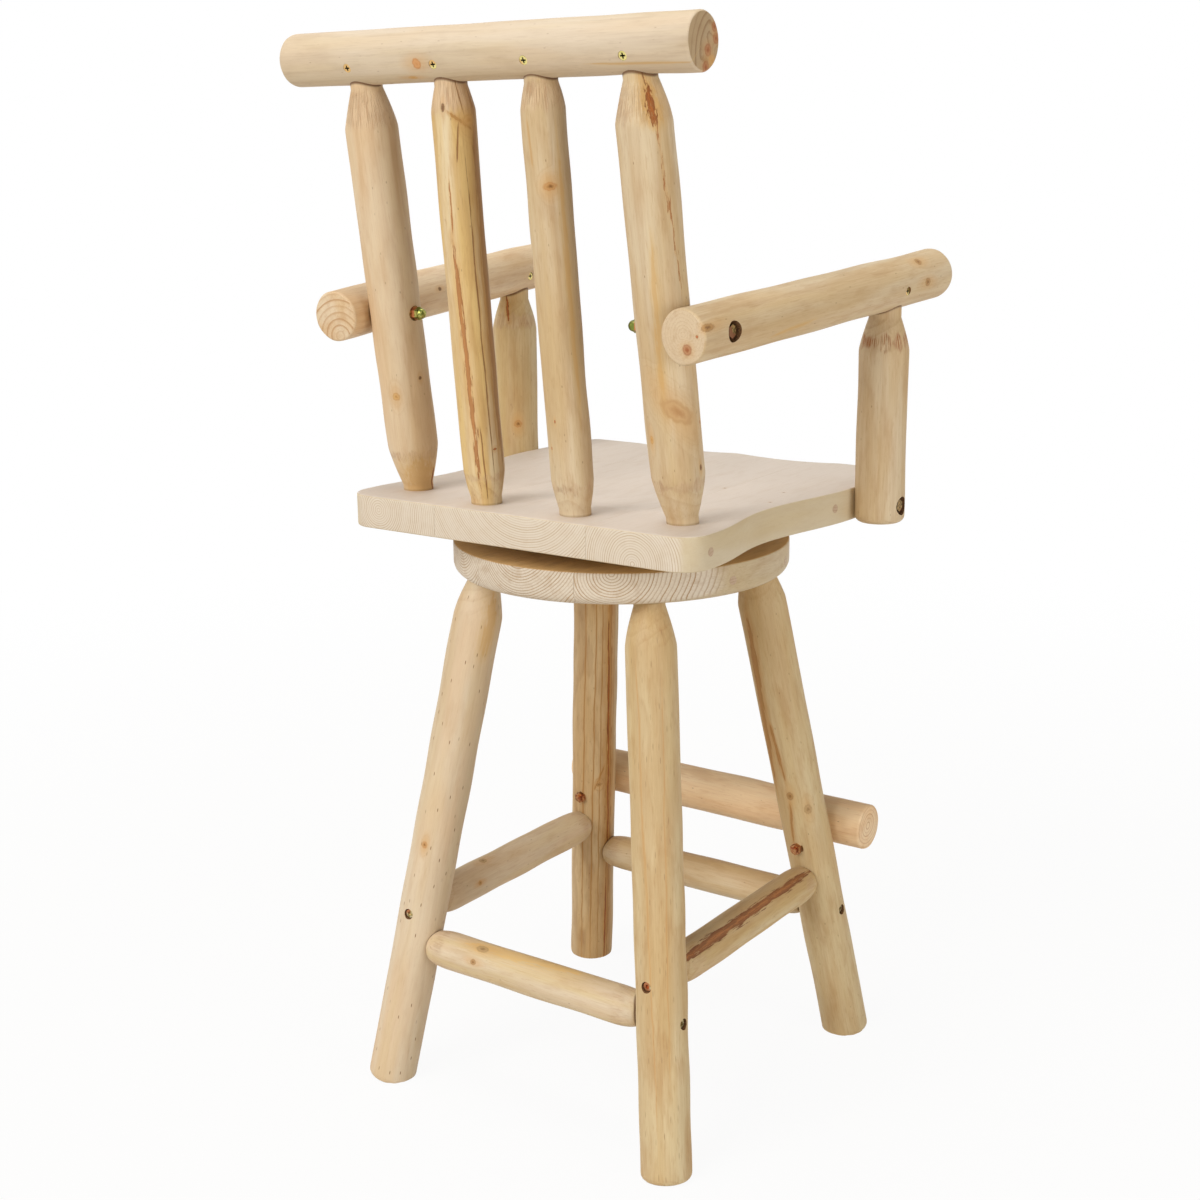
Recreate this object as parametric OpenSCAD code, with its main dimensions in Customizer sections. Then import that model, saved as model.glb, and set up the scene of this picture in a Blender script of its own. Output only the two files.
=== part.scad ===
// Rustic swivel bar stool built of peeled softwood logs and glued boards.
// Four splayed logs and their stretchers carry a round disc. A ball-bearing swivel plate on the
// disc carries a dished seat with a spindle back, a top rail and two log armrests.
// Millimetres, +Z up. The origin is on the floor under the swivel axis. The front, with the
// foot bar, faces -Y. The sitter's left is +X.

/* [Heights] */
// Floor to the rim of the seat top
seat_height = 740; // [690:1:790]
// Thickness of the seat boards
seat_thick = 38; // [35:1:44]
// Height of the swivel between the disc and the seat
swivel_height = 24; // [23:0.5:30]
// Thickness of the disc boards
disc_thick = 38; // [35:1:44]
// Floor to the axis of the two side stretchers
side_stretcher_z = 221; // [215:1:260]
// Floor to the axis of the front and rear stretchers
cross_stretcher_z = 177; // [120:1:180]
// Floor to where the foot bar bolts cross the front leg axes
foot_bolt_z = 271; // [266:1:330]
// Floor to the armrest bolts through the back posts
arm_bolt_z = 949; // [920:1:990]
// Floor to the armrest axis above the arm posts
arm_front_z = 974; // [940:1:1000]
// Floor to the axis of the top rail
rail_z = 1225; // [1150:1:1290]

/* [Base] */
// Swivel axis to a leg axis on the floor, sideways
foot_x = 206; // [180:1:230]
// Swivel axis to a leg axis on the floor, front to back
foot_y = 216; // [190:1:240]
// Swivel axis to a leg axis under the disc, sideways
leg_top_x = 117; // [108:1:130]
// Swivel axis to a leg axis under the disc, front to back
leg_top_y = 115; // [108:1:128]
// Diameter of the legs
leg_d = 59; // [54:1:64]
// Diameter of the leg tenons
leg_tenon_d = 36; // [32:1:40]
// Length of the taper at a leg top
leg_taper = 47; // [30:1:60]
// Radius of the rounding round a foot
foot_round = 9; // [4:1:14]
// Diameter of the stretchers
stretcher_d = 46; // [40:1:52]
// Diameter of the stretcher tenons
stretcher_tenon_d = 28; // [24:1:32]
// Length of the rounded taper at a stretcher end
stretcher_taper = 30; // [20:1:36]
// Diameter of the foot bar
foot_bar_d = 58; // [52:1:64]
// Length of the foot bar
foot_bar_length = 452; // [420:1:500]
// Depth of the saddle that the foot bar has for each leg
foot_bar_cope = 3.5; // [2:0.5:8]
// Radius of the disc
disc_r = 201; // [190:1:215]
// Radius of the round on the lower edge of the disc
disc_round = 14; // [6:1:18]
// Swivel axis to the two glue joints of the disc
disc_joint = 67; // [58:1:69]
// Swivel axis to the dowels in the disc
disc_dowel_y = 59; // [50:1:64]

/* [Seat] */
// Swivel axis to the rear edge of the seat
seat_rear = 219; // [212:1:235]
// Swivel axis to the front edge of the seat
seat_front = 268; // [250:1:290]
// Half width of the seat across its rear ears
ear_half = 240; // [234:1:250]
// Half width of the seat at its waist
waist_half = 223; // [215:1:232]
// Half width of the seat beside the arm posts
hip_half = 243; // [236:1:255]
// Half width of the seat at its front edge
nose_half = 229; // [210:1:236]
// Radius of the rear corners in plan
rear_corner_r = 32; // [15:1:40]
// Radius of the front corners in plan
front_corner_r = 14; // [6:1:24]
// Depth of the dish in the seat top
dish_depth = 8; // [4:0.5:11]
// Swivel axis to the two glue joints of the seat
seat_joint = 105; // [98:1:112]
// Swivel axis back to the rear seat dowels
rear_dowel_y = 184; // [182:1:188]
// Swivel axis forward to the front seat dowels
front_dowel_y = 88; // [86:1:95]
// Diameter of the dowels
dowel_d = 10; // [8:0.5:12]

/* [Back] */
// Swivel axis to a back post at the seat top, sideways
post_foot_x = 185; // [180:1:192]
// Swivel axis back to a back post at the seat top
post_foot_y = 152; // [146:1:156]
// Swivel axis to a back post at the rail, sideways
post_head_x = 179; // [170:1:190]
// Diameter of the back posts
back_post_d = 58; // [52:1:62]
// Length of the tapers on the back posts
back_post_taper = 48; // [30:1:60]
// Swivel axis to an inner spindle at the seat top, sideways
spindle_foot_x = 62; // [56:1:64]
// Swivel axis back to an inner spindle at the seat top
spindle_foot_y = 177; // [170:1:182]
// Swivel axis to an inner spindle at the rail, sideways
spindle_head_x = 59; // [50:1:70]
// Diameter of the inner spindles
spindle_d = 47; // [42:1:52]
// Length of the tapers on the inner spindles
spindle_taper = 33; // [20:1:45]
// Diameter of the tenons on posts and spindles
back_tenon_d = 35; // [30:1:37]
// Swivel axis back to the axis of the top rail
rail_y = 226; // [200:1:250]
// Diameter of the top rail
rail_d = 58; // [54:1:64]
// Length of the top rail
rail_length = 535; // [490:1:580]
// How far the rail sits towards the sitter's left
rail_shift = 13; // [0:1:20]

/* [Arms] */
// Diameter of the armrests
arm_d = 57; // [52:1:62]
// Armrest beyond the bolt, at the back
arm_back_over = 46; // [35:1:60]
// Armrest beyond the arm post, at the front
arm_front_over = 114; // [80:1:130]
// Depth of the saddle that an armrest has for its back post
arm_cope = 1.5; // [1:0.5:4]
// Diameter of the arm posts
arm_post_d = 58; // [52:1:62]
// Swivel axis forward to the arm posts
arm_post_y = 145; // [130:1:165]
// Depth of the notch in the seat edge for an arm post
post_notch = 3.5; // [2:0.5:6]
// Diameter of the arm post tenons
arm_tenon_d = 37; // [32:1:40]
// Length of the taper at an arm post top
arm_post_taper = 39; // [25:1:50]

/* [Swivel] */
// Width of the square swivel plates
plate_w = 178; // [172:1:184]
// Thickness of the swivel plates
plate_t = 2.5; // [2:0.5:3]
// Radius of the ring that the ball centres lie on
race_r = 60; // [52:1:64]
// Diameter of the bearing balls
ball_d = 8; // [7:0.5:8]
// Number of bearing balls
ball_count = 24; // [16:1:26]
// Running clearance between a ball and its groove
ball_gap = 0.15; // [0.1:0.01:0.25]

/* [Fasteners] */
// Diameter of the bolts
bolt_d = 8; // [6:0.5:8]
// Diameter of the counterbores for bolt heads
counterbore_d = 22; // [19:0.5:24]
// Diameter of the washers
washer_d = 17; // [15:0.5:18]
// Shank diameter of the wood screws
screw_d = 4.5; // [4:0.1:5.5]
// Head diameter of the wood screws
screw_head_d = 9.5; // [8.5:0.1:11]

/* [Hidden] */
$fn = 48;

// Glue and clearance gap round a tenon, dowel, bolt or screw in its hole
fit_gap = 0.1;
// Chamfer on a tenon's end
tenon_chamfer = 1;
// How far the edge between a log's side and its taper is eased
taper_ease = 1.5;
// Straight neck that shows between a taper and the piece that takes the tenon
neck = 8;
// How far a mortise runs on past the end of its tenon
mortise_spare = 1;
// Wood left beyond a blind mortise in a board, with the mortise's spare depth
board_floor = 12;
// How far a tenon runs past the axis of the log that takes it
tenon_past_axis = 11;
// Roundings of log ends: a small one at sawn ends, the larger left end of the rail, the feet
// of the arm posts and the domes on the armrest fronts
sawn_round = 3;
rail_end_round = 8;
post_foot_round = 8;
arm_dome = 17;
disc_top_round = 2;

bolt_head_af = 13;
bolt_head_h = 5.3;
washer_t = 1.6;
nut_h = 6.5;
acorn_h = 15;
acorn_base_h = 8;
counterbore_depth = 10;
// Flat spot under the washer on the nut side of a through bolt: its depth, its margin round the
// washer and how far its cutter runs out
spot_depth = 2;
spot_margin = 0.5;
spot_reach = 20;
stretcher_bolt_head_d = 10.5;
stretcher_bolt_head_h = 5;
stretcher_bore_d = 13;
stretcher_bore_depth = 8;
// How far a lag bolt bites into the piece behind
lag_bite = 55;
screw_head_h = 3;
screw_sink = 0.8;
// How far a hole cutter runs on above the screw head
head_room = 9;
screw_l = 45;
rail_screw_angle = 25;
arm_screw_drop = 6;
plate_screw_l = 22;
plate_screw_head_h = 3;
plate_corner_r = 14;
plate_hole_d = 90;
plate_screw_inset = 13;
rivet_d = 4;
rivet_head_h = 1.2;
rivet_count = 6;
// Half the width of the gap between the inner and the outer race
race_split = 1.4;
race_wall = 5;
flange_w = 9.5;
race_half_h = 6;
cage_t = 1.4;
cage_half_h = 5.5;
cage_pocket_spare = 0.5;

disc_top = seat_height - seat_thick - swivel_height;
disc_under = disc_top - disc_thick;
seat_under = seat_height - seat_thick;
ball_z = disc_top + swivel_height / 2;
plate_screw_xy = plate_w / 2 - plate_screw_inset;
arm_post_x = hip_half + arm_post_d / 2 - post_notch;
post_head_y = rail_y;
bolt_past_nut = 3;

SIDES = [-1, 1];

function unit(v) = v / norm(v);
// Point on the line from a to b at height z
function at_height(a, b, z) = a + (b - a) * (z - a.z) / (b.z - a.z);
function smooth(t) = let (c = min(1, max(0, t))) (1 - cos(180 * c)) / 2;
// Quarter of an ellipse from [r, 0] to [0, h], in steps equal parts, the first point left out
function quarter(r, h, steps) = [for (i = [1:steps]) [r * cos(90 * i / steps), h * sin(90 * i / steps)]];

// Puts +Z of the children along direction d, from point p
module facing(p, d) {
    translate(p) rotate([0, acos(d.z / norm(d)), atan2(d.y, d.x)]) children();
}

// Log ends. A log is turned round Z: start and end each say how its radius runs in to the axis
// or to the tenon. The lists hold [radius, z] points from the bottom up.
function sawn_start(r, c) = [[0, 0], for (i = [0:3]) [r - c + c * sin(30 * i), c - c * cos(30 * i)]];
function sawn_end(r, c, l) = [for (i = [0:3]) [r - c + c * cos(30 * i), l - c + c * sin(30 * i)], [0, l]];
function tenon_start(r, rt, taper, tenon) =
    [[0, 0], [rt - tenon_chamfer, 0], [rt, tenon_chamfer], [rt, tenon],
     [r - taper_ease, tenon + taper - 2 * taper_ease], [r, tenon + taper]];
function tenon_end(r, rt, taper, tenon, l) =
    [[r, l - tenon - taper], [r - taper_ease, l - tenon - taper + 2 * taper_ease], [rt, l - tenon],
     [rt, l - tenon_chamfer], [rt - tenon_chamfer, l], [0, l]];
function round_tenon_start(r, rt, taper, tenon) =
    [[0, 0], [rt - tenon_chamfer, 0], [rt, tenon_chamfer], [rt, tenon],
     for (i = [1:4]) [rt + (r - rt) * sin(22.5 * i), tenon + taper * (1 - cos(22.5 * i))]];
function round_tenon_end(r, rt, taper, tenon, l) =
    let (s = round_tenon_start(r, rt, taper, tenon)) [for (i = [len(s) - 1:-1:0]) [s[i].x, l - s[i].y]];

// Turn about its own axis that keeps the seam of a turned face clear of other cuts
seam_turn = 90;
module turned(points) {
    rotate_extrude() polygon(points);
}

// Fasteners have their bearing plane at z = 0, the head above it and the shank below it.
module hex_bolt(l) {
    cylinder(h = bolt_head_h, d = bolt_head_af / cos(30), $fn = 6);
    translate([0, 0, -l]) cylinder(h = l + 0.5, d = bolt_d);
}

module lag_bolt(l) {
    cylinder(h = bolt_head_h, d = bolt_head_af / cos(30), $fn = 6);
    lag_shank(l);
}

module lag_shank(l) {
    rotate_extrude() polygon([[0, -l], [1, -l], [bolt_d / 2, 6 - l], [bolt_d / 2, 1], [0, 1]]);
}

module socket_lag(l) {
    difference() {
        cylinder(h = stretcher_bolt_head_h, d = stretcher_bolt_head_d);
        translate([0, 0, stretcher_bolt_head_h - 2.5]) cylinder(h = 3, d = 5 / cos(30), $fn = 6);
    }
    lag_shank(l);
}

module washer() {
    difference() {
        cylinder(h = washer_t, d = washer_d);
        translate([0, 0, -1]) cylinder(h = washer_t + 2, d = bolt_d + 2 * fit_gap);
    }
}

module hex_nut() {
    difference() {
        cylinder(h = nut_h, d = bolt_head_af / cos(30), $fn = 6);
        translate([0, 0, -1]) cylinder(h = nut_h + 2, d = bolt_d + 2 * fit_gap);
    }
}

module acorn_nut() {
    dome_r = bolt_head_af / 2 - 0.4;
    difference() {
        union() {
            cylinder(h = acorn_base_h, d = bolt_head_af / cos(30), $fn = 6);
            translate([0, 0, acorn_h - dome_r]) sphere(r = dome_r);
        }
        translate([0, 0, -1]) cylinder(h = acorn_base_h + 3, d = bolt_d + 2 * fit_gap);
    }
}

// Countersunk wood screw with a cross recess: its head is flush with z = 0.
module wood_screw(l) {
    r = screw_d / 2;
    difference() {
        rotate_extrude() polygon([[0, -l], [r, 6 - l], [r, -screw_head_h], [screw_head_d / 2, 0], [0, 0]]);
        cross_recess(screw_head_d / 2, 0);
    }
}

module cross_recess(width, top) {
    for (a = [0, 90]) rotate(a) translate([-width / 2, -0.6, top - 1.5]) cube([width, 1.2, 2]);
}

// Hole for that screw, with room above the head
module wood_screw_hole(l) {
    r = screw_d / 2 + fit_gap;
    head_r = screw_head_d / 2 + fit_gap;
    rotate_extrude()
        polygon([[0, -l - mortise_spare], [r, -l - mortise_spare], [r, -screw_head_h],
                 [head_r, 0], [head_r, head_room], [0, head_room]]);
}

module plate_screw(l) {
    r = screw_d / 2;
    difference() {
        rotate_extrude() polygon([[0, -l], [r, 5 - l], [r, 0], [screw_head_d / 2, 0],
                                  [screw_head_d / 2 - 1.2, plate_screw_head_h], [0, plate_screw_head_h]]);
        cross_recess(screw_head_d / 2.5, plate_screw_head_h);
    }
}

// Legs: sx and sy say which corner.
function leg_foot(sx, sy) = [sx * foot_x, sy * foot_y, 0];
function leg_top(sx, sy) = [sx * leg_top_x, sy * leg_top_y, disc_under];
leg_axis_l = norm(leg_top(1, 1) - leg_foot(1, 1));
leg_lean_cos = disc_under / leg_axis_l;
leg_tenon_in = (disc_thick - board_floor) / leg_lean_cos;
// The log starts below the floor line, so that the foot is cut flat across its round
foot_sink = 4;

module leg_line(sx, sy) {
    facing(leg_foot(sx, sy), leg_top(sx, sy) - leg_foot(sx, sy)) children();
}

module leg(sx, sy) {
    l = foot_sink + leg_axis_l + leg_tenon_in;
    color("wheat") difference() {
        leg_line(sx, sy) translate([0, 0, -foot_sink]) rotate(seam_turn)
            turned(concat(sawn_start(leg_d / 2, foot_round),
                          tenon_end(leg_d / 2, leg_tenon_d / 2, leg_taper, leg_tenon_in + neck, l)));
        translate([sx * foot_x - leg_d, sy * foot_y - leg_d, -leg_d]) cube([2 * leg_d, 2 * leg_d, leg_d]);
        stretcher_mortises(sx, sy);
        leg_screw_place(sx, sy) wood_screw_hole(screw_l);
        if (sy < 0) foot_bolt_place(sx) {
            translate([0, 0, -foot_bolt_reach - 1]) cylinder(h = foot_bolt_reach + 1, d = bolt_d + 2 * fit_gap);
            translate([0, 0, -foot_grip - spot_reach]) cylinder(h = spot_reach, d = washer_d + 2 * spot_margin);
        }
    }
}

// Screw down through the disc into each leg tenon, along the leg
leg_screw_s = (disc_top - screw_sink) / leg_lean_cos - screw_head_d / 2 * tan(acos(leg_lean_cos));
module leg_screw_place(sx, sy) {
    leg_line(sx, sy) translate([0, 0, leg_screw_s]) children();
}

// Blind socket for a tenon with the hole of the screw that holds it, turned round the log's
// axis: r and mouth are the socket's radius and open end, floor its blind end, head the plane
// of the screw head. up is 1 where the head lies above the socket and -1 where it lies below.
module screwed_socket(r, mouth, floor, head, up) {
    hole_r = screw_d / 2 + fit_gap;
    head_r = screw_head_d / 2 + fit_gap;
    top = head + up * head_room;
    rotate(seam_turn) rotate_extrude() polygon([[0, mouth], [r, mouth], [r, floor], [hole_r, floor],
        [hole_r, head - up * screw_head_h], [head_r, head], [head_r, top], [0, top]]);
}

// Stretchers join the leg axes at their own height. Side stretchers run along Y, cross ones along X.
function leg_axis_at(sx, sy, z) = at_height(leg_foot(sx, sy), leg_top(sx, sy), z);
// How far a stretcher's tenon end stays short of the leg axis
tenon_short = 6;
side_half = leg_axis_at(1, 1, side_stretcher_z).y;
cross_half = leg_axis_at(1, 1, cross_stretcher_z).x;
stretcher_tenon = leg_d / 2 - tenon_short + neck / 2;

module stretcher(half) {
    l = 2 * (half - tenon_short);
    r = stretcher_d / 2;
    rt = stretcher_tenon_d / 2;
    translate([0, 0, -l / 2])
        turned(concat(round_tenon_start(r, rt, stretcher_taper, stretcher_tenon),
                      round_tenon_end(r, rt, stretcher_taper, stretcher_tenon, l)));
}

// Places for what lies along a stretcher, +Z outwards through the leg, origin on the leg axis
module side_joint(sx, sy) {
    facing(leg_axis_at(sx, sy, side_stretcher_z), [0, sy, 0]) children();
}

module cross_joint(sx, sy) {
    facing(leg_axis_at(sx, sy, cross_stretcher_z), [sx, 0, 0]) children();
}

// Bearing plane of a stretcher bolt, out from the leg axis
stretcher_bolt_seat = leg_d / 2 - stretcher_bore_depth;
stretcher_bolt_l = stretcher_bolt_seat + tenon_short + lag_bite;

module stretcher_joint_cut() {
    translate([0, 0, -leg_d]) cylinder(h = leg_d - tenon_short + mortise_spare, d = stretcher_tenon_d + 2 * fit_gap);
    stretcher_bolt_cut();
    translate([0, 0, stretcher_bolt_seat]) cylinder(h = leg_d, d = stretcher_bore_d);
}

module stretcher_bolt_cut() {
    translate([0, 0, stretcher_bolt_seat - stretcher_bolt_l - 1])
        cylinder(h = stretcher_bolt_l + 2, d = bolt_d + 2 * fit_gap);
}

module stretcher_mortises(sx, sy) {
    side_joint(sx, sy) stretcher_joint_cut();
    cross_joint(sx, sy) stretcher_joint_cut();
}

module side_stretcher(sx) {
    color("burlywood") difference() {
        translate([sx * leg_axis_at(1, 1, side_stretcher_z).x, 0, side_stretcher_z])
            rotate([90, 0, 0]) stretcher(side_half);
        for (sy = SIDES) side_joint(sx, sy) stretcher_bolt_cut();
    }
}

module cross_stretcher(sy) {
    color("burlywood") difference() {
        translate([0, sy * leg_axis_at(1, 1, cross_stretcher_z).y, cross_stretcher_z])
            rotate([0, 90, 0]) stretcher(cross_half);
        for (sx = SIDES) cross_joint(sx, sy) stretcher_bolt_cut();
    }
}

module stretcher_bolts() {
    color("dimgray") for (sx = SIDES, sy = SIDES) {
        side_joint(sx, sy) translate([0, 0, stretcher_bolt_seat]) socket_lag(stretcher_bolt_l);
        cross_joint(sx, sy) translate([0, 0, stretcher_bolt_seat]) socket_lag(stretcher_bolt_l);
    }
}

// Foot bar: it lies on the front of the front legs, and its bolts stand square to the legs as
// seen from the side.
foot_lean = (foot_y - leg_top_y) / disc_under;
foot_dir = unit([0, -1, foot_lean]);
foot_bar_off = leg_d / 2 + foot_bar_d / 2 - foot_bar_cope;
foot_bar_at = leg_axis_at(1, -1, foot_bolt_z) + foot_dir * foot_bar_off;
// Bearing plane of the bolt head, out from the leg axis, and the grip down to the washer
foot_bolt_seat = foot_bar_off + foot_bar_d / 2 - counterbore_depth;
foot_spot = leg_d / 2 - spot_depth;
foot_grip = foot_bolt_seat + foot_spot;
foot_bolt_reach = foot_grip + washer_t + nut_h + bolt_past_nut;

// Origin on the washer seat in the foot bar, +Z outwards
module foot_bolt_place(sx) {
    facing(leg_axis_at(sx, -1, foot_bolt_z) + foot_dir * foot_bolt_seat, foot_dir) children();
}

module foot_bar() {
    color("burlywood") difference() {
        translate([-foot_bar_length / 2, foot_bar_at.y, foot_bar_at.z]) rotate([0, 90, 0])
            turned(concat(sawn_start(foot_bar_d / 2, sawn_round), sawn_end(foot_bar_d / 2, sawn_round, foot_bar_length)));
        for (sx = SIDES) {
            leg_line(sx, -1) translate([0, 0, foot_bolt_z - leg_d * 2]) cylinder(h = leg_d * 4, d = leg_d + 0.4);
            foot_bolt_place(sx) {
                translate([0, 0, -foot_bolt_reach]) cylinder(h = foot_bolt_reach + 1, d = bolt_d + 2 * fit_gap);
                cylinder(h = foot_bar_d, d = counterbore_d);
            }
        }
    }
}

module foot_bar_bolts() {
    color("silver") for (sx = SIDES)
        foot_bolt_place(sx) translate([0, 0, washer_t]) hex_bolt(washer_t + foot_bolt_reach);
}

module foot_bar_washers() {
    color("silver") for (sx = SIDES) foot_bolt_place(sx) {
        washer();
        translate([0, 0, -foot_grip - washer_t]) washer();
    }
}

module foot_bar_nuts() {
    color("silver") for (sx = SIDES)
        foot_bolt_place(sx) translate([0, 0, -foot_grip - washer_t - nut_h]) hex_nut();
}

// Disc: three boards glued edge to edge, with two dowels across them.
module disc_body() {
    translate([0, 0, disc_under]) rotate_extrude() polygon(concat(
        [[0, 0]],
        [for (i = [0:6]) [disc_r - disc_round * (1 - sin(15 * i)), disc_round * (1 - cos(15 * i))]],
        [for (i = [0:3]) [disc_r - disc_top_round * (1 - cos(30 * i)), disc_thick - disc_top_round * (1 - sin(30 * i))]],
        [[0, disc_thick]]));
}

module disc_dowel_rods(d) {
    for (sy = SIDES)
        translate([-disc_r - 1, sy * disc_dowel_y, disc_under + disc_thick / 2]) rotate([0, 90, 0])
            cylinder(h = 2 * disc_r + 2, d = d);
}

module disc_board(x0, x1) {
    color("antiquewhite") difference() {
        intersection() {
            disc_body();
            translate([x0, -disc_r - 1, disc_under - 1]) cube([x1 - x0, 2 * disc_r + 2, disc_thick + 2]);
        }
        disc_dowel_rods(dowel_d + 2 * fit_gap);
        for (sx = SIDES, sy = SIDES)
            leg_line(sx, sy)
                screwed_socket(leg_tenon_d / 2 + fit_gap, leg_axis_l - leg_d,
                               leg_axis_l + leg_tenon_in + mortise_spare, leg_screw_s, 1);
        plate_screw_places() translate([0, 0, disc_top - plate_screw_l + plate_t - 1])
            cylinder(h = plate_screw_l + 2, d = screw_d + 2 * fit_gap);
    }
}

module disc_dowels() {
    color("tan") intersection() {
        disc_body();
        disc_dowel_rods(dowel_d);
    }
}

module leg_screws() {
    color("goldenrod") for (sx = SIDES, sy = SIDES) leg_screw_place(sx, sy) wood_screw(screw_l);
}

// Swivel: the lower plate carries the inner race, the upper plate and a riveted ring carry the
// outer one, and a caged row of balls runs between them.
module plate_screw_places() {
    for (sx = SIDES, sy = SIDES) translate([sx * plate_screw_xy, sy * plate_screw_xy, 0]) children();
}

module plate_sheet(hole) {
    difference() {
        linear_extrude(plate_t) difference() {
            union() {
                square([plate_w, plate_w - 2 * plate_corner_r], center = true);
                square([plate_w - 2 * plate_corner_r, plate_w], center = true);
                for (sx = SIDES, sy = SIDES)
                    translate([sx, sy] * (plate_w / 2 - plate_corner_r)) circle(plate_corner_r);
            }
            circle(d = hole);
        }
        plate_screw_places() translate([0, 0, -1]) cylinder(h = plate_t + 2, d = screw_d + 1);
    }
}

module race_groove() {
    translate([0, 0, ball_z]) rotate_extrude() translate([race_r, 0]) circle(d = ball_d + 2 * ball_gap);
}

module ring(r0, r1, z0, z1) {
    translate([0, 0, z0]) difference() {
        cylinder(h = z1 - z0, r = r1);
        translate([0, 0, -1]) cylinder(h = z1 - z0 + 2, r = r0);
    }
}

inner_race_r = race_r - race_split;
outer_race_r = race_r + race_split;
race_outside = outer_race_r + race_wall + flange_w;

module swivel_lower_plate() {
    color("slategray") difference() {
        union() {
            translate([0, 0, disc_top]) plate_sheet(plate_hole_d);
            ring(inner_race_r - race_wall, inner_race_r, disc_top + plate_t / 2, ball_z + race_half_h);
        }
        race_groove();
    }
}

module rivet_places() {
    for (i = [0:rivet_count - 1])
        rotate(30 + 360 * i / rivet_count) translate([outer_race_r + race_wall + flange_w / 2 - 0.5, 0, 0]) children();
}

module swivel_upper_plate() {
    top = disc_top + swivel_height;
    color("slategray") difference() {
        union() {
            translate([0, 0, top - plate_t]) plate_sheet(plate_hole_d);
            ring(outer_race_r, race_outside, ball_z, top - plate_t / 2);
        }
        race_groove();
        rivet_places() {
            translate([0, 0, ball_z - 1]) cylinder(h = swivel_height, d = rivet_d + 2 * fit_gap);
            translate([0, 0, top - plate_t]) cylinder(h = plate_t + 0.01, d1 = rivet_d + 2 * fit_gap, d2 = rivet_d + 4 + 2 * fit_gap);
        }
    }
}

module swivel_retaining_ring() {
    color("lightslategray") difference() {
        ring(outer_race_r, race_outside, ball_z - race_half_h, ball_z);
        race_groove();
        rivet_places() translate([0, 0, ball_z - swivel_height / 2])
            cylinder(h = swivel_height, d = rivet_d + 2 * fit_gap);
    }
}

module swivel_rivets() {
    top = disc_top + swivel_height;
    bottom = ball_z - race_half_h;
    color("silver") rivet_places() {
        translate([0, 0, bottom]) cylinder(h = top - bottom, d = rivet_d);
        translate([0, 0, top - plate_t]) cylinder(h = plate_t, d1 = rivet_d, d2 = rivet_d + 4);
        translate([0, 0, bottom - rivet_head_h]) cylinder(h = rivet_head_h, d1 = rivet_d + 1.5, d2 = rivet_d + 3.5);
    }
}

module bearing_balls() {
    color("gainsboro") for (i = [0:ball_count - 1])
        rotate(360 * i / ball_count) translate([race_r, 0, ball_z]) sphere(d = ball_d);
}

module ball_cage() {
    color("ivory") difference() {
        ring(race_r - cage_t / 2, race_r + cage_t / 2, ball_z - cage_half_h, ball_z + cage_half_h);
        for (i = [0:ball_count - 1])
            rotate(360 * i / ball_count) translate([race_r - cage_t * 2, 0, ball_z]) rotate([0, 90, 0])
                cylinder(h = cage_t * 4, d = ball_d + cage_pocket_spare);
    }
}

module lower_plate_screws() {
    color("silver") plate_screw_places() translate([0, 0, disc_top + plate_t]) plate_screw(plate_screw_l);
}

module upper_plate_screws() {
    color("silver") plate_screw_places()
        translate([0, 0, seat_under - plate_t]) mirror([0, 0, 1]) plate_screw(plate_screw_l);
}

// Seat: three boards glued edge to edge. The outline follows the seat's half width from front
// to back, with half a cosine wave between the nose, the hips, the waist and the rear ears.
ear_y = 175;
waist_y = 45;
hip_y = -130;
function side_half_width(y) =
    y > ear_y ? ear_half
    : y > waist_y ? waist_half + (ear_half - waist_half) * smooth((y - waist_y) / (ear_y - waist_y))
    : y > hip_y ? hip_half + (waist_half - hip_half) * smooth((y - hip_y) / (waist_y - hip_y))
    : nose_half + (hip_half - nose_half) * smooth((y + seat_front) / (hip_y + seat_front));
function corner_cut(depth, r) = depth > r ? 0 : r - sqrt(max(0, r * r - (r - depth) * (r - depth)));
function half_width(y) =
    side_half_width(y) - corner_cut(seat_rear - y, rear_corner_r) - corner_cut(y + seat_front, front_corner_r);

// Rows from front to back: close together round the corners, even along the sides
side_steps = 22;
side_start = front_corner_r - seat_front;
side_l = seat_rear - rear_corner_r - side_start;
rows = concat([for (a = [0:30:60]) -seat_front + front_corner_r * (1 - cos(a))],
              [for (i = [0:side_steps]) side_start + side_l * i / side_steps],
              [for (a = [22.5:22.5:90]) seat_rear - rear_corner_r * (1 - sin(a))]);

module seat_outline() {
    polygon(concat([for (y = rows) [half_width(y), y]],
                   [for (i = [len(rows) - 1:-1:0]) [-half_width(rows[i]), rows[i]]]));
}

// Dish: a long hollow for each thigh, part of a ball behind and of a lying cylinder in front.
// The cylinder rises forwards, so the hollows run out through the front edge on either side
// of a low pommel.
hollow_x = 75;
hollow_y = 0;
hollow_half = 130;
front_share = 0.4;
hollow_r = hollow_half * hollow_half / (2 * dish_depth) + dish_depth / 2;
hollow_rise = atan(dish_depth * (1 - front_share) / (seat_front + hollow_y));

module thigh_hollow(sx) {
    translate([sx * hollow_x, hollow_y, seat_height - dish_depth + hollow_r]) rotate([90 - hollow_rise, 0, 0]) {
        sphere(r = hollow_r, $fn = 400);
        cylinder(h = seat_front * 2, r = hollow_r, $fn = 400);
    }
}

module seat_blank() {
    difference() {
        translate([0, 0, seat_under]) linear_extrude(seat_thick) seat_outline();
        for (sx = SIDES) thigh_hollow(sx);
    }
}

// Dowels across the glue joints, from the side edges of the seat in past each joint
dowel_past_joint = 20;
module seat_dowel_rods(d) {
    for (sx = SIDES, y = [rear_dowel_y, -front_dowel_y])
        translate([sx * (seat_joint - dowel_past_joint), y, seat_under + seat_thick / 2])
            rotate([0, sx * 90, 0]) cylinder(h = ear_half, d = d);
}

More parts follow.
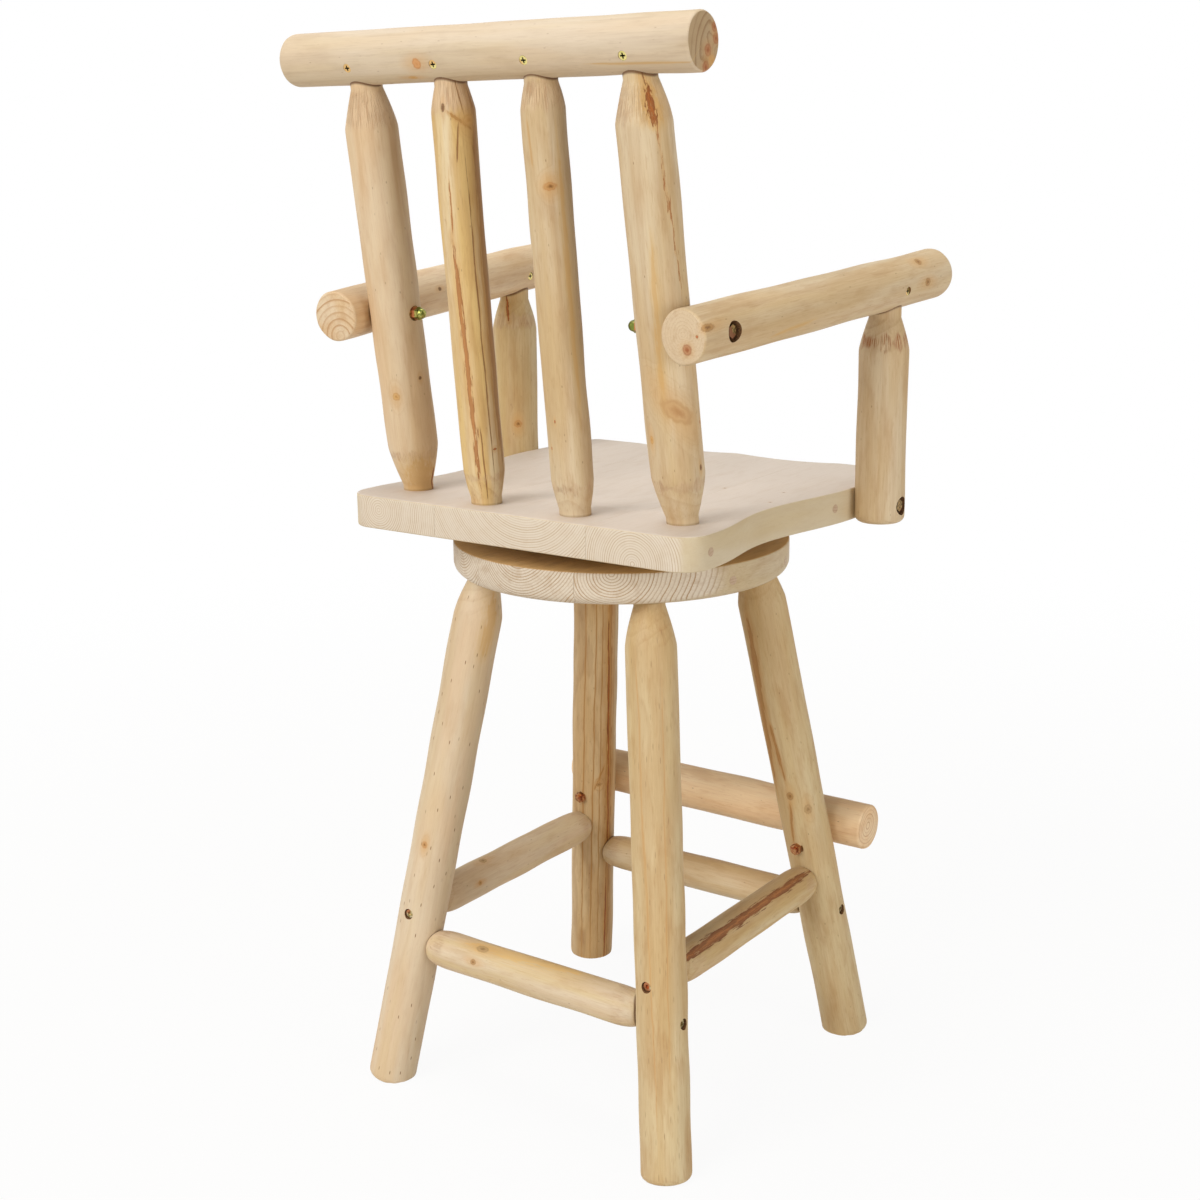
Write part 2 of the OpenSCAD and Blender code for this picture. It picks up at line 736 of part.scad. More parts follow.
module seat_board(x0, x1) {
    color("antiquewhite") difference() {
        intersection() {
            seat_blank();
            translate([x0, -seat_front - 1, seat_under - 1])
                cube([x1 - x0, seat_front + seat_rear + 2, seat_thick + 2]);
        }
        seat_dowel_rods(dowel_d + 2 * fit_gap);
        for (sx = SIDES) {
            back_post_line(sx) seat_socket();
            spindle_line(sx) seat_socket();
            translate([sx * arm_post_x, -arm_post_y, seat_under - 1])
                cylinder(h = seat_thick + 2, d = arm_post_d + 0.4);
            arm_post_bolt_place(sx) translate([0, 0, -arm_post_bolt_l - 1])
                cylinder(h = arm_post_bolt_l, d = bolt_d + 2 * fit_gap);
        }
        plate_screw_places() translate([0, 0, seat_under - 1])
            cylinder(h = plate_screw_l - plate_t + 2, d = screw_d + 2 * fit_gap);
    }
}

module seat_dowels() {
    color("tan") intersection() {
        seat_blank();
        seat_dowel_rods(dowel_d);
    }
}

// Back: posts and spindles stand in the seat and run up into the rail. Z = 0 is the seat top.
back_tenon_in = seat_thick - board_floor;
function post_base(sx) = [sx * post_foot_x, post_foot_y, seat_height];
function post_head(sx) = [sx * post_head_x, post_head_y, rail_z];
function spindle_base(sx) = [sx * spindle_foot_x, spindle_foot_y, seat_height];
function spindle_head(sx) = [sx * spindle_head_x, rail_y, rail_z];

module back_post_line(sx) {
    facing(post_base(sx), post_head(sx) - post_base(sx)) children();
}

module spindle_line(sx) {
    facing(spindle_base(sx), spindle_head(sx) - spindle_base(sx)) children();
}

module seat_socket() {
    screwed_socket(back_tenon_d / 2 + fit_gap, seat_thick, -back_tenon_in - mortise_spare, seat_screw_s, -1);
}

module back_log(d, taper, base, head) {
    axis_l = norm(head - base);
    l = back_tenon_in + axis_l + tenon_past_axis;
    r = d / 2;
    rt = back_tenon_d / 2;
    translate([0, 0, -back_tenon_in])
        turned(concat(tenon_start(r, rt, taper, back_tenon_in + neck),
                      tenon_end(r, rt, taper, tenon_past_axis + rail_d / 2 + neck, l)));
}

module back_post(sx) {
    color("moccasin") difference() {
        back_post_line(sx) back_log(back_post_d, back_post_taper, post_base(sx), post_head(sx));
        rail_screw_places() wood_screw_hole(screw_l);
        spindle_screw_places() wood_screw_hole(screw_l);
        arm_bolt_place(sx) {
            translate([0, 0, -arm_bolt_reach - 1]) cylinder(h = arm_bolt_reach + 1, d = bolt_d + 2 * fit_gap);
            translate([0, 0, -arm_grip - spot_reach]) cylinder(h = spot_reach, d = washer_d + 2 * spot_margin);
        }
    }
}

module spindle(sx) {
    color("moccasin") difference() {
        spindle_line(sx) back_log(spindle_d, spindle_taper, spindle_base(sx), spindle_head(sx));
        rail_screw_places() wood_screw_hole(screw_l);
        spindle_screw_places() wood_screw_hole(screw_l);
    }
}

// Screws up from under the seat into the tenons, along each log
module spindle_screw_places() {
    for (sx = SIDES) {
        back_post_line(sx) seat_screw_turn() children();
        spindle_line(sx) seat_screw_turn() children();
    }
}

seat_screw_s = 2 * screw_sink - seat_thick;
module seat_screw_turn() {
    translate([0, 0, seat_screw_s]) mirror([0, 0, 1]) children();
}

module spindle_screws() {
    color("goldenrod") spindle_screw_places() wood_screw(screw_l);
}

module top_rail() {
    color("wheat") difference() {
        translate([rail_shift - rail_length / 2, rail_y, rail_z]) rotate([0, 90, 0])
            turned(concat(sawn_start(rail_d / 2, sawn_round), sawn_end(rail_d / 2, rail_end_round, rail_length)));
        for (sx = SIDES) {
            facing(post_head(sx), post_base(sx) - post_head(sx)) rail_mortise();
            facing(spindle_head(sx), spindle_base(sx) - spindle_head(sx)) rail_mortise();
        }
        rail_screw_places() wood_screw_hole(screw_l);
    }
}

module rail_mortise() {
    translate([0, 0, -tenon_past_axis - mortise_spare])
        cylinder(h = tenon_past_axis + mortise_spare + rail_d, d = back_tenon_d + 2 * fit_gap);
}

// Screws through the low back of the rail into the four tenons
module rail_screw_places() {
    dir = [0, cos(rail_screw_angle), -sin(rail_screw_angle)];
    for (sx = SIDES, x = [post_head_x, spindle_head_x])
        facing([sx * x, rail_y, rail_z] + dir * (rail_d / 2 - screw_sink), dir) children();
}

module rail_screws() {
    color("goldenrod") rail_screw_places() wood_screw(screw_l);
}

// Arms: an armrest lies against its back post, where a bolt crosses both, and on the tenon of
// its arm post.
arm_gap = back_post_d / 2 + arm_d / 2 - arm_cope;
function arm_bolt_at(sx) = at_height(post_base(sx), post_head(sx), arm_bolt_z) + [sx * arm_gap, 0, 0];
function arm_front_at(sx) = [sx * arm_post_x, -arm_post_y, arm_front_z];
function arm_dir(sx) = unit(arm_front_at(sx) - arm_bolt_at(sx));
arm_length = arm_back_over + norm(arm_front_at(1) - arm_bolt_at(1)) + arm_front_over;

// Origin on the bearing plane in the counterbore, +Z outwards
arm_bolt_seat = arm_d / 2 - counterbore_depth;
arm_spot = back_post_d / 2 - spot_depth;
arm_grip = arm_bolt_seat + arm_gap + arm_spot;
arm_bolt_reach = arm_grip + washer_t + acorn_base_h;

module arm_bolt_place(sx) {
    facing(arm_bolt_at(sx) + [sx * arm_bolt_seat, 0, 0], [sx, 0, 0]) children();
}

module armrest(sx) {
    r = arm_d / 2;
    color("wheat") difference() {
        facing(arm_bolt_at(sx) - arm_dir(sx) * arm_back_over, arm_dir(sx))
            turned(concat(sawn_start(r, sawn_round), [[r, arm_length - arm_dome]],
                          [for (p = quarter(r, arm_dome, 6)) [p.x, arm_length - arm_dome + p.y]]));
        back_post_line(sx) translate([0, 0, arm_bolt_z - seat_height - arm_d * 2])
            cylinder(h = arm_d * 4, d = back_post_d + 0.4);
        arm_bolt_place(sx) {
            translate([0, 0, -arm_bolt_reach]) cylinder(h = arm_bolt_reach + 1, d = bolt_d + 2 * fit_gap);
            cylinder(h = arm_d, d = counterbore_d);
        }
        translate([sx * arm_post_x, -arm_post_y, arm_front_z - arm_d])
            cylinder(h = arm_d + tenon_past_axis + mortise_spare, d = arm_tenon_d + 2 * fit_gap);
        arm_screw_place(sx) wood_screw_hole(screw_l);
    }
}

module arm_bolts() {
    color("silver") for (sx = SIDES)
        arm_bolt_place(sx) translate([0, 0, washer_t]) hex_bolt(washer_t + arm_bolt_reach);
}

module arm_bolt_washers() {
    color("silver") for (sx = SIDES) arm_bolt_place(sx) {
        washer();
        translate([0, 0, -arm_grip - washer_t]) washer();
    }
}

module acorn_nuts() {
    color("silver") for (sx = SIDES)
        arm_bolt_place(sx) translate([0, 0, -arm_grip - washer_t]) mirror([0, 0, 1]) acorn_nut();
}

// Both arm screws are driven from the sitter's right, across the arm post tenon.
module arm_screw_place(sx) {
    facing([sx * arm_post_x - arm_screw_out, -arm_post_y, arm_front_z - arm_screw_drop], [-1, 0, 0]) children();
}
arm_screw_out = sqrt(pow(arm_d / 2, 2) - pow(arm_screw_drop, 2)) - screw_sink;

module arm_screws() {
    color("goldenrod") for (sx = SIDES) arm_screw_place(sx) wood_screw(screw_l);
}

// Arm post: its foot is level with the underside of the seat and is bolted to the seat edge.
arm_post_foot = seat_under - 2;
arm_post_seat = arm_post_d / 2 - counterbore_depth;
arm_post_bolt_l = arm_post_seat + arm_post_d / 2 + lag_bite + washer_t;

module arm_post_bolt_place(sx) {
    facing([sx * (arm_post_x + arm_post_seat), -arm_post_y, seat_under + seat_thick / 2], [sx, 0, 0]) children();
}

module arm_post(sx) {
    l = arm_front_z + tenon_past_axis - arm_post_foot;
    color("moccasin") difference() {
        translate([sx * arm_post_x, -arm_post_y, arm_post_foot])
            turned(concat(sawn_start(arm_post_d / 2, post_foot_round),
                          tenon_end(arm_post_d / 2, arm_tenon_d / 2, arm_post_taper,
                                    tenon_past_axis + arm_d / 2 + neck, l)));
        arm_post_bolt_place(sx) {
            translate([0, 0, -arm_post_d]) cylinder(h = arm_post_d + 1, d = bolt_d + 2 * fit_gap);
            cylinder(h = arm_post_d, d = counterbore_d);
        }
        arm_screw_place(sx) wood_screw_hole(screw_l);
    }
}

module arm_post_bolts() {
    color("silver") for (sx = SIDES)
        arm_post_bolt_place(sx) translate([0, 0, washer_t]) lag_bolt(arm_post_bolt_l);
}

module arm_post_washers() {
    color("silver") for (sx = SIDES) arm_post_bolt_place(sx) washer();
}

leg(1, 1);  // leg_back_left
leg(-1, 1);  // leg_back_right
leg(1, -1);  // leg_front_left
leg(-1, -1);  // leg_front_right
side_stretcher(1);  // stretcher_left
side_stretcher(-1);  // stretcher_right
cross_stretcher(-1);  // stretcher_front
cross_stretcher(1);  // stretcher_back
foot_bar();
disc_board(disc_joint, disc_r + 1);  // disc_board_left
disc_board(-disc_joint, disc_joint);  // disc_board_middle
disc_board(-disc_r - 1, -disc_joint);  // disc_board_right
disc_dowels();
leg_screws();
stretcher_bolts();
foot_bar_bolts();
foot_bar_washers();
foot_bar_nuts();
swivel_lower_plate();
lower_plate_screws();
bearing_balls();
ball_cage();
swivel_upper_plate();
swivel_retaining_ring();
swivel_rivets();
upper_plate_screws();
seat_board(seat_joint, hip_half + 2);  // seat_board_left
seat_board(-seat_joint, seat_joint);  // seat_board_middle
seat_board(-hip_half - 2, -seat_joint);  // seat_board_right
seat_dowels();
back_post(1);  // back_post_left
back_post(-1);  // back_post_right
spindle(1);  // spindle_left
spindle(-1);  // spindle_right
spindle_screws();
top_rail();
rail_screws();
armrest(1);  // armrest_left
armrest(-1);  // armrest_right
arm_post(1);  // arm_post_left
arm_post(-1);  // arm_post_right
arm_bolts();
arm_bolt_washers();
acorn_nuts();
arm_screws();
arm_post_bolts();
arm_post_washers();
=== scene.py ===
"""Rustic swivel bar stool: the peeled logs, glued boards and plated fasteners, dressed.

Metres, +Z up, the origin on the floor under the swivel axis. The front, with the foot bar, faces
-Y and the sitter's left is +X. Sizes that only place wood grain are in millimetres and say so.
"""

import logging
import math
from collections.abc import Callable
from dataclasses import dataclass
from enum import Enum
from types import SimpleNamespace

import bmesh
import bpy
import numpy as np
from mathutils import Matrix, Vector


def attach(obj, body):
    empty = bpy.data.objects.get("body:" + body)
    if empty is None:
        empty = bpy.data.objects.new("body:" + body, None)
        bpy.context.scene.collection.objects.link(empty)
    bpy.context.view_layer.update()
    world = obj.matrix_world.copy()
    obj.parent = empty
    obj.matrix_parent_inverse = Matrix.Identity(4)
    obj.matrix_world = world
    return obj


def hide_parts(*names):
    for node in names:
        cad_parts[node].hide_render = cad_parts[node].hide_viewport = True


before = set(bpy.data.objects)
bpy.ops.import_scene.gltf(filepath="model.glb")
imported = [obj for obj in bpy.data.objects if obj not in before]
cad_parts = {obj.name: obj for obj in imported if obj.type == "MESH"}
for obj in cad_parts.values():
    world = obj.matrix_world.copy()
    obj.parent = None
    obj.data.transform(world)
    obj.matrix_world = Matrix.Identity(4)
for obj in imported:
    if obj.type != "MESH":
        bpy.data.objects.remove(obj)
LOG = logging.getLogger("stool")

MM = 0.001
SIDE_NAMES = {1: "left", -1: "right"}
END_NAMES = {1: "back", -1: "front"}
FLAT = (1.0, 1.0, 0.0)
HALF = (0.5, 0.5, 0.5)
CIRCLE = 2 * math.pi
RIGHT_ANGLE = math.pi / 2
ASKEW = (0.3, 0.5, 0.81)  # a direction that no bore runs along
NOSE_FULLNESS = 0.85  # the power of the sine of a nose: the smaller, the blunter
DOWEL_PROUD = 0.0002  # how far the end of a dowel stands out
BOARD_PAST = 0.01  # how far the cut of an outer board lies past the edge

Triple = tuple[float, float, float] | np.ndarray
Piece = bpy.types.Object


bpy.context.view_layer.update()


@dataclass(frozen=True)
class Sizes:
    """The stool's driving sizes in metres, as the solids of the frame have them."""

    seat_top: float = 0.740
    seat_thick: float = 0.038
    swivel_height: float = 0.024
    disc_thick: float = 0.038
    side_stretcher_z: float = 0.221
    cross_stretcher_z: float = 0.177
    foot_bolt_z: float = 0.271
    arm_bolt_z: float = 0.949
    arm_front_z: float = 0.974
    rail_z: float = 1.225
    foot_x: float = 0.206
    foot_y: float = 0.216
    leg_top_x: float = 0.117
    leg_top_y: float = 0.115
    leg_r: float = 0.0295
    leg_tenon_r: float = 0.018
    leg_taper: float = 0.047
    stretcher_r: float = 0.023
    stretcher_tenon_r: float = 0.014
    stretcher_taper: float = 0.030
    nose_bury: float = 0.0025
    foot_bar_r: float = 0.029
    foot_bar_length: float = 0.452
    foot_bar_cope: float = 0.0035
    disc_r: float = 0.201
    disc_round: float = 0.014
    disc_joint: float = 0.067
    disc_dowel_y: float = 0.059
    seat_rear: float = 0.219
    seat_front: float = 0.268
    ear_half: float = 0.240
    waist_half: float = 0.223
    hip_half: float = 0.243
    nose_half: float = 0.229
    rear_corner_r: float = 0.032
    front_corner_r: float = 0.014
    dish_depth: float = 0.008
    seat_joint: float = 0.105
    rear_dowel_y: float = 0.184
    front_dowel_y: float = -0.088
    dowel_r: float = 0.005
    post_foot_x: float = 0.185
    post_foot_y: float = 0.152
    post_head_x: float = 0.179
    back_post_r: float = 0.029
    back_post_taper: float = 0.048
    spindle_foot_x: float = 0.062
    spindle_foot_y: float = 0.177
    spindle_head_x: float = 0.059
    spindle_r: float = 0.0235
    spindle_taper: float = 0.033
    back_tenon_r: float = 0.0175
    rail_y: float = 0.226
    rail_r: float = 0.029
    rail_length: float = 0.535
    rail_shift: float = 0.013
    arm_r: float = 0.0285
    arm_back_over: float = 0.046
    arm_front_over: float = 0.114
    arm_cope: float = 0.0015
    arm_post_r: float = 0.029
    arm_post_y: float = -0.145
    post_notch: float = 0.0035
    arm_tenon_r: float = 0.0185
    arm_post_taper: float = 0.039
    neck: float = 0.008
    head_neck: float = 0.0035
    post_head_taper: float = 0.044
    spindle_head_taper: float = 0.027
    board_floor: float = 0.012
    tenon_past_axis: float = 0.011
    tenon_short: float = 0.006
    sawn_round: float = 0.003
    rail_end_round: float = 0.008
    post_foot_round: float = 0.008
    foot_round: float = 0.009
    arm_dome: float = 0.017
    counterbore_r: float = 0.011
    counterbore_depth: float = 0.010
    stretcher_bore_r: float = 0.0065
    stretcher_bore_depth: float = 0.008
    screw_hole_r: float = 0.0049
    screw_sink: float = 0.0008
    screw_head: float = 0.003
    rail_screw_droop: float = 25.0
    arm_screw_drop: float = 0.006

    @property
    def seat_under(self) -> float:
        """Height of the underside of the seat."""
        return self.seat_top - self.seat_thick

    @property
    def disc_top(self) -> float:
        """Height of the disc's upper face."""
        return self.seat_under - self.swivel_height

    @property
    def disc_under(self) -> float:
        """Height of the disc's lower face."""
        return self.disc_top - self.disc_thick

    @property
    def arm_post_x(self) -> float:
        """Distance of an arm post's axis from the middle of the seat."""
        return self.hip_half + self.arm_post_r - self.post_notch


S = Sizes()
RAIL_SCREW_WAY = (0.0, math.cos(math.radians(S.rail_screw_droop)), -math.sin(math.radians(S.rail_screw_droop)))


@dataclass(frozen=True)
class PhotoView:
    """Where the photograph was taken from, and the lens.

    place is in metres, heading turns from the front of the stool, pitch looks down and roll turns
    the picture, in radians. focal is the focal length in millimetres on a film of width film_width.
    """

    place: Triple = (-1.1883, 1.7192, 1.1241)
    heading: float = 0.61729
    pitch: float = 0.2467
    roll: float = -0.00936
    focal: float = 53.41
    film_width: float = 36.0

    def camera(self) -> None:
        """Makes the camera and puts it in the scene."""
        across, down = math.sin(self.heading), math.cos(self.heading)
        level, drop = math.cos(self.pitch), math.sin(self.pitch)
        ahead = np.array([across * level, -down * level, -drop])
        right = np.array([-down, -across, 0.0])
        up = np.cross(right, ahead)
        lean, upright = math.sin(self.roll), math.cos(self.roll)
        axes = np.column_stack([upright * right + lean * up, upright * up - lean * right, -ahead])
        data = bpy.data.cameras.new("photo_camera")
        data.lens, data.sensor_width = self.focal, self.film_width
        camera = bpy.data.objects.new("photo_camera", data)
        camera.matrix_world = Matrix.Translation(self.place) @ Matrix(axes.tolist()).to_4x4()
        bpy.context.scene.collection.objects.link(camera)
        bpy.context.scene.camera = camera


VIEW = PhotoView()
# From the stool to the viewer, who stands a little above it: turns round a log are counted from here
SHOWN_SIDE = (-math.sin(VIEW.heading), math.cos(VIEW.heading), 0.25)


@dataclass(frozen=True)
class Axis:
    """The straight line that a log is turned round, from start to end in metres.

    Its own frame has Z along the log, X as near to the direction towards as can be, which is the
    side that the photograph shows if it is not given, and Y square to both.
    """

    start: Triple
    end: Triple
    towards: Triple = SHOWN_SIDE

    @property
    def length(self) -> float:
        """Length from start to end."""
        return float(np.linalg.norm(np.subtract(self.end, self.start)))

    @property
    def way(self) -> np.ndarray:
        """Direction from start to end."""
        return np.subtract(self.end, self.start) / self.length

    @property
    def turn(self) -> np.ndarray:
        """The frame's directions.

        Returns:
            X, Y and Z as the columns of a 3 by 3 array.
        """
        z = self.way
        x = self.towards - z * float(np.dot(self.towards, z))
        x /= np.linalg.norm(x)
        return np.column_stack([x, np.cross(z, x), z])

    def at(self, z: float) -> np.ndarray:
        """The point of the line at a height."""
        share = (z - self.start[2]) / (self.end[2] - self.start[2])
        return np.asarray(self.start) + share * np.subtract(self.end, self.start)

    def extended(self, before: float, after: float) -> "Axis":
        """The same line made longer before its start and after its end."""
        return Axis(self.start - self.way * before, self.end + self.way * after)


def mesh_object(name: str, points: np.ndarray | None = None, faces: list[list[int]] | None = None) -> Piece:
    """Makes a mesh object at the origin from points in the stool's frame, or an empty one.

    Args:
        name: Name of the piece.
        points: Vertices as rows, in metres.
        faces: Vertex numbers of each face, anticlockwise seen from outside.

    Returns:
        The object, linked into the scene.
    """
    mesh = bpy.data.meshes.new(name)
    if points is not None:
        mesh.from_pydata(points.tolist(), [], faces)
    mesh.update()
    piece = bpy.data.objects.new(name, mesh)
    bpy.context.scene.collection.objects.link(piece)
    return piece


def hand_over(piece: Piece, node: str, body: str, sharp_deg: float = 35.0) -> None:
    """Shades a new piece, hangs it on its body's empty and hides the part of the node that it replaces.

    Args:
        piece: The piece.
        node: Name of the node that it replaces.
        body: Name of the body.
        sharp_deg: The angle between two faces from which their edge stays crisp, in degrees.
    """
    mesh = piece.data
    mesh.polygons.foreach_set("use_smooth", np.ones(len(mesh.polygons), bool))
    mesh.set_sharp_from_angle(angle=math.radians(sharp_deg))
    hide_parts(node)
    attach(piece, body)
    LOG.info("%s: %d faces", piece.name, len(mesh.polygons))


def ring_faces(rings: int, columns: int) -> list[list[int]]:
    """Faces of a closed skin of rings stacked along an axis, with a fan at each end.

    Args:
        rings: Number of rings. The points of the two poles follow after the last.
        columns: Points in each ring.

    Returns:
        Vertex numbers of each face.
    """
    here = np.arange(columns)
    after = (here + 1) % columns
    base = np.arange(rings - 1)[:, None] * columns
    quads = np.stack([base + here, base + after, base + after + columns, base + here + columns], axis=-1)
    first, last = rings * columns, rings * columns + 1
    top = (rings - 1) * columns
    low = np.column_stack([np.full(columns, first), after, here])
    high = np.column_stack([np.full(columns, last), top + here, top + after])
    return [*quads.reshape(-1, 4).tolist(), *low.tolist(), *high.tolist()]


@dataclass(frozen=True)
class Wave:
    """How far a peeled log strays from a true cylinder, in metres.

    oval flattens the section, bow bends the middle sideways, ripple raises long low swellings,
    sink lowers the whole surface and seed picks the log's own pattern. waves gives the fewest and
    the most swellings along each stretch of the log, and twist how far in radians they turn to
    and fro round it, at a rate per metre.
    """

    seed: int
    oval: float = 0.00025
    bow: float = 0.0006
    ripple: float = 0.00035
    sink: float = 0.0
    waves: tuple[float, float] = (1.0, 3.5)
    stretch: float = 0.30
    twist: float = 0.8
    twist_rate: float = 9.0

    def lift(self, along: np.ndarray, turn: np.ndarray, length: float) -> np.ndarray:
        """Height of the surface over the true cylinder.

        The height is a sum of long waves: each has a whole number of swellings round the log, so
        that the ends of a ring meet, and a slow wave along it, with its own start.

        Args:
            along: Distance from the start of the log, in metres.
            turn: Angle round the log, in radians.
            length: Length of the log.

        Returns:
            The height at each point, in metres.
        """
        draw = np.random.default_rng(self.seed)
        height = self.oval * np.cos(2 * turn + draw.uniform(0, CIRCLE))
        height = height + self.bow * np.sin(math.pi * along / length) * np.cos(turn - draw.uniform(0, CIRCLE))
        for around in (1, 2, 3, 5, 8):
            waves = draw.uniform(*self.waves) / self.stretch
            start = draw.uniform(0, CIRCLE, 2)
            ring = np.cos(around * turn + start[0] + self.twist * np.sin(self.twist_rate * along))
            height = height + self.ripple / math.sqrt(around) * ring * np.sin(CIRCLE * waves * along + start[1])
        return height - self.sink


def finer(profile: np.ndarray, step: float) -> np.ndarray:
    """Adds points to a profile so that none of its stretches is longer than a step.

    Args:
        profile: Distances along the axis and radii, as rows.
        step: The longest stretch allowed, in metres.

    Returns:
        The profile with points worked out evenly along each stretch.
    """
    rows = [profile[:1]]
    for a, b in zip(profile[:-1], profile[1:]):
        count = max(1, math.ceil(math.dist(a, b) / step))
        share = np.arange(1, count + 1)[:, None] / count
        rows.append(a * (1 - share) + b * share)
    return np.vstack(rows)


def quarter(steps: int) -> np.ndarray:
    """Angles from nothing to a right angle, in even steps."""
    return np.linspace(0, RIGHT_ANGLE, steps + 1)


def sawn(r: float, edge: float) -> np.ndarray:
    """Profile of a sawn end of radius r whose edge is rounded, from the edge of the end outwards."""
    return np.column_stack([edge * (1 - np.cos(quarter(5))), r - edge + edge * np.sin(quarter(5))])


def domed(r: float, depth: float) -> np.ndarray:
    """Profile of a domed end of radius r, a quarter of an ellipse, from the middle outwards."""
    return np.column_stack([depth * (1 - np.cos(quarter(8))), r * np.sin(quarter(8))])[1:]


def coned(r: float, tenon_r: float, taper: float, tenon: float) -> np.ndarray:
    """Profile of a tenon and the cone behind it, which bulges a little and runs softly into the log.

    The radius rises by a sine's first quarter where the bulge is full and by a straight line where
    it is nil; the last stretch is a short parabola that ends level with the log.

    Args:
        r: Radius of the log.
        tenon_r: Radius of the tenon.
        taper: Length of the cone.
        tenon: Length of the tenon.

    Returns:
        Distances from the end and radii, as rows.
    """
    bulge, soft, steps = 0.30, 0.12, 18
    share = np.arange(1, steps + 1) / steps * (1 + soft / 2)
    line = np.where(share < 1 - soft / 2, share, 1 - (1 + soft / 2 - share) ** 2 / (2 * soft))
    curve = line + bulge * (np.sin(RIGHT_ANGLE * np.minimum(line, 1)) - line)
    cone = np.column_stack([tenon + taper * share / (1 + soft / 2), tenon_r + (r - tenon_r) * curve])
    return np.vstack([[(0, tenon_r), (tenon, tenon_r)], cone])


def nosed(r: float, tenon_r: float, taper: float, tenon: float) -> np.ndarray:
    """Profile of a tenon and the rounded nose of length taper behind it, fuller than an ellipse."""
    nose = np.column_stack([1 - np.cos(quarter(10)), np.sin(quarter(10)) ** NOSE_FULLNESS]) * (taper, r - tenon_r)
    return np.vstack([(0, tenon_r), nose + (tenon, tenon_r)])


def between(start: np.ndarray, end: np.ndarray, length: float) -> np.ndarray:
    """The profile of a whole log from the profiles of its two ends, each from its own end."""
    return np.vstack([start, end[::-1] * (-1, 1) + (length, 0)])


@dataclass(frozen=True)
class Bore:
    """A round hole into a log: the point on its floor, the way out and its radius, in metres."""

    floor: Triple
    way_out: Triple
    radius: float
    reach: float = 0.06
    columns: int = 40

    def cutter(self) -> Piece:
        """A closed cylinder of the hole's size.

        Returns:
            The cutter object.
        """
        turn = np.arange(self.columns)[:, None] / self.columns * CIRCLE
        z = np.asarray(self.way_out) / np.linalg.norm(self.way_out)
        x = np.cross(z, ASKEW)
        x /= np.linalg.norm(x)
        ring = self.radius * (np.cos(turn) * x + np.sin(turn) * np.cross(z, x))
        low = np.asarray(self.floor)
        high = low + z * self.reach
        made = mesh_object("cutter", np.vstack([ring + low, ring + high, low, high]), ring_faces(2, self.columns))
        made.data.materials.append(SHADED_BORE_WOOD)
        return made


def cut(piece: Piece, bores: tuple[Bore, ...]) -> None:
    """Cuts round holes into a closed piece and keeps the result as its mesh.

    Args:
        piece: The piece.
        bores: The holes.
    """
    cutters = [bore.cutter() for bore in bores]
    for cutter in cutters:
        step = piece.modifiers.new("bore", "BOOLEAN")
        step.operation, step.solver, step.material_mode = "DIFFERENCE", "EXACT", "TRANSFER"
        step.object = cutter
    evaluated = piece.evaluated_get(bpy.context.evaluated_depsgraph_get())
    result = bpy.data.meshes.new_from_object(evaluated)
    piece.modifiers.clear()
    spent = [piece.data, *(cutter.data for cutter in cutters)]
    piece.data = result
    result.name = piece.name
    for cutter in cutters:
        bpy.data.objects.remove(cutter)
    for mesh in spent:
        bpy.data.meshes.remove(mesh)


def shade_of(code: int) -> Triple:
    """The linear values that a shader takes, from a screen colour's six hexadecimal digits."""
    share = np.array([code >> 16, code >> 8 & 255, code & 255]) / 255
    return tuple(np.where(share <= 0.04045, share / 12.92, ((share + 0.055) / 1.055) ** 2.4).tolist())


def plain(value: object) -> bool:
    """Whether something is a number, or a node's output that gives one, and not three."""
    return value.plain if isinstance(value, Value) else isinstance(value, (int, float))


class Value:
    """An output of a node. Arithmetic on it adds the nodes that work the result out."""

    def __init__(self, graph: "Graph", socket: bpy.types.NodeSocket) -> None:
        """Holds the output and the graph that it is in."""
        self.graph, self.socket = graph, socket

    @property
    def plain(self) -> bool:
        """Whether it is a number, and not a vector or a colour."""
        return self.socket.type == "VALUE"

    def __add__(self, other: object) -> "Value":
        """The sum."""
        return self.graph.step("ADD", self, other)

    def __sub__(self, other: object) -> "Value":
        """The difference."""
        return self.graph.step("SUBTRACT", self, other)

    def __rsub__(self, other: float) -> "Value":
        """The difference from a constant."""
        return self.graph.step("SUBTRACT", other, self)

    def __mul__(self, other: object) -> "Value":
        """The product. A vector times a number scales the vector."""
        return self.graph.step("MULTIPLY", self, other)

    def __truediv__(self, other: object) -> "Value":
        """The quotient."""
        return self.graph.step("DIVIDE", self, other)

    def __rtruediv__(self, other: float) -> "Value":
        """A constant's quotient."""
        return self.graph.step("DIVIDE", other, self)

    def __abs__(self) -> "Value":
        """The size without its sign."""
        return self.graph.step("ABSOLUTE", self)

    @property
    def length(self) -> "Value":
        """The length of a vector."""
        return self.graph.step("LENGTH", self)

    def part(self, index: int) -> "Value":
        """The X, Y or Z of a vector."""
        return self.graph.out("ShaderNodeSeparateXYZ", (self,), index)

    def rise(self, low: float, high: float, before: float = 0.0, after: float = 1.0) -> "Value":
        """A smooth rise from the level before low to the level after high."""
        levels = (self, low, high, before, after)
        return self.graph.out("ShaderNodeMapRange", levels, interpolation_type="SMOOTHSTEP")

    def fall(self, low: float, high: float) -> "Value":
        """A smooth fall from 1 before low to 0 after high."""
        return self.rise(low, high, 1.0, 0.0)


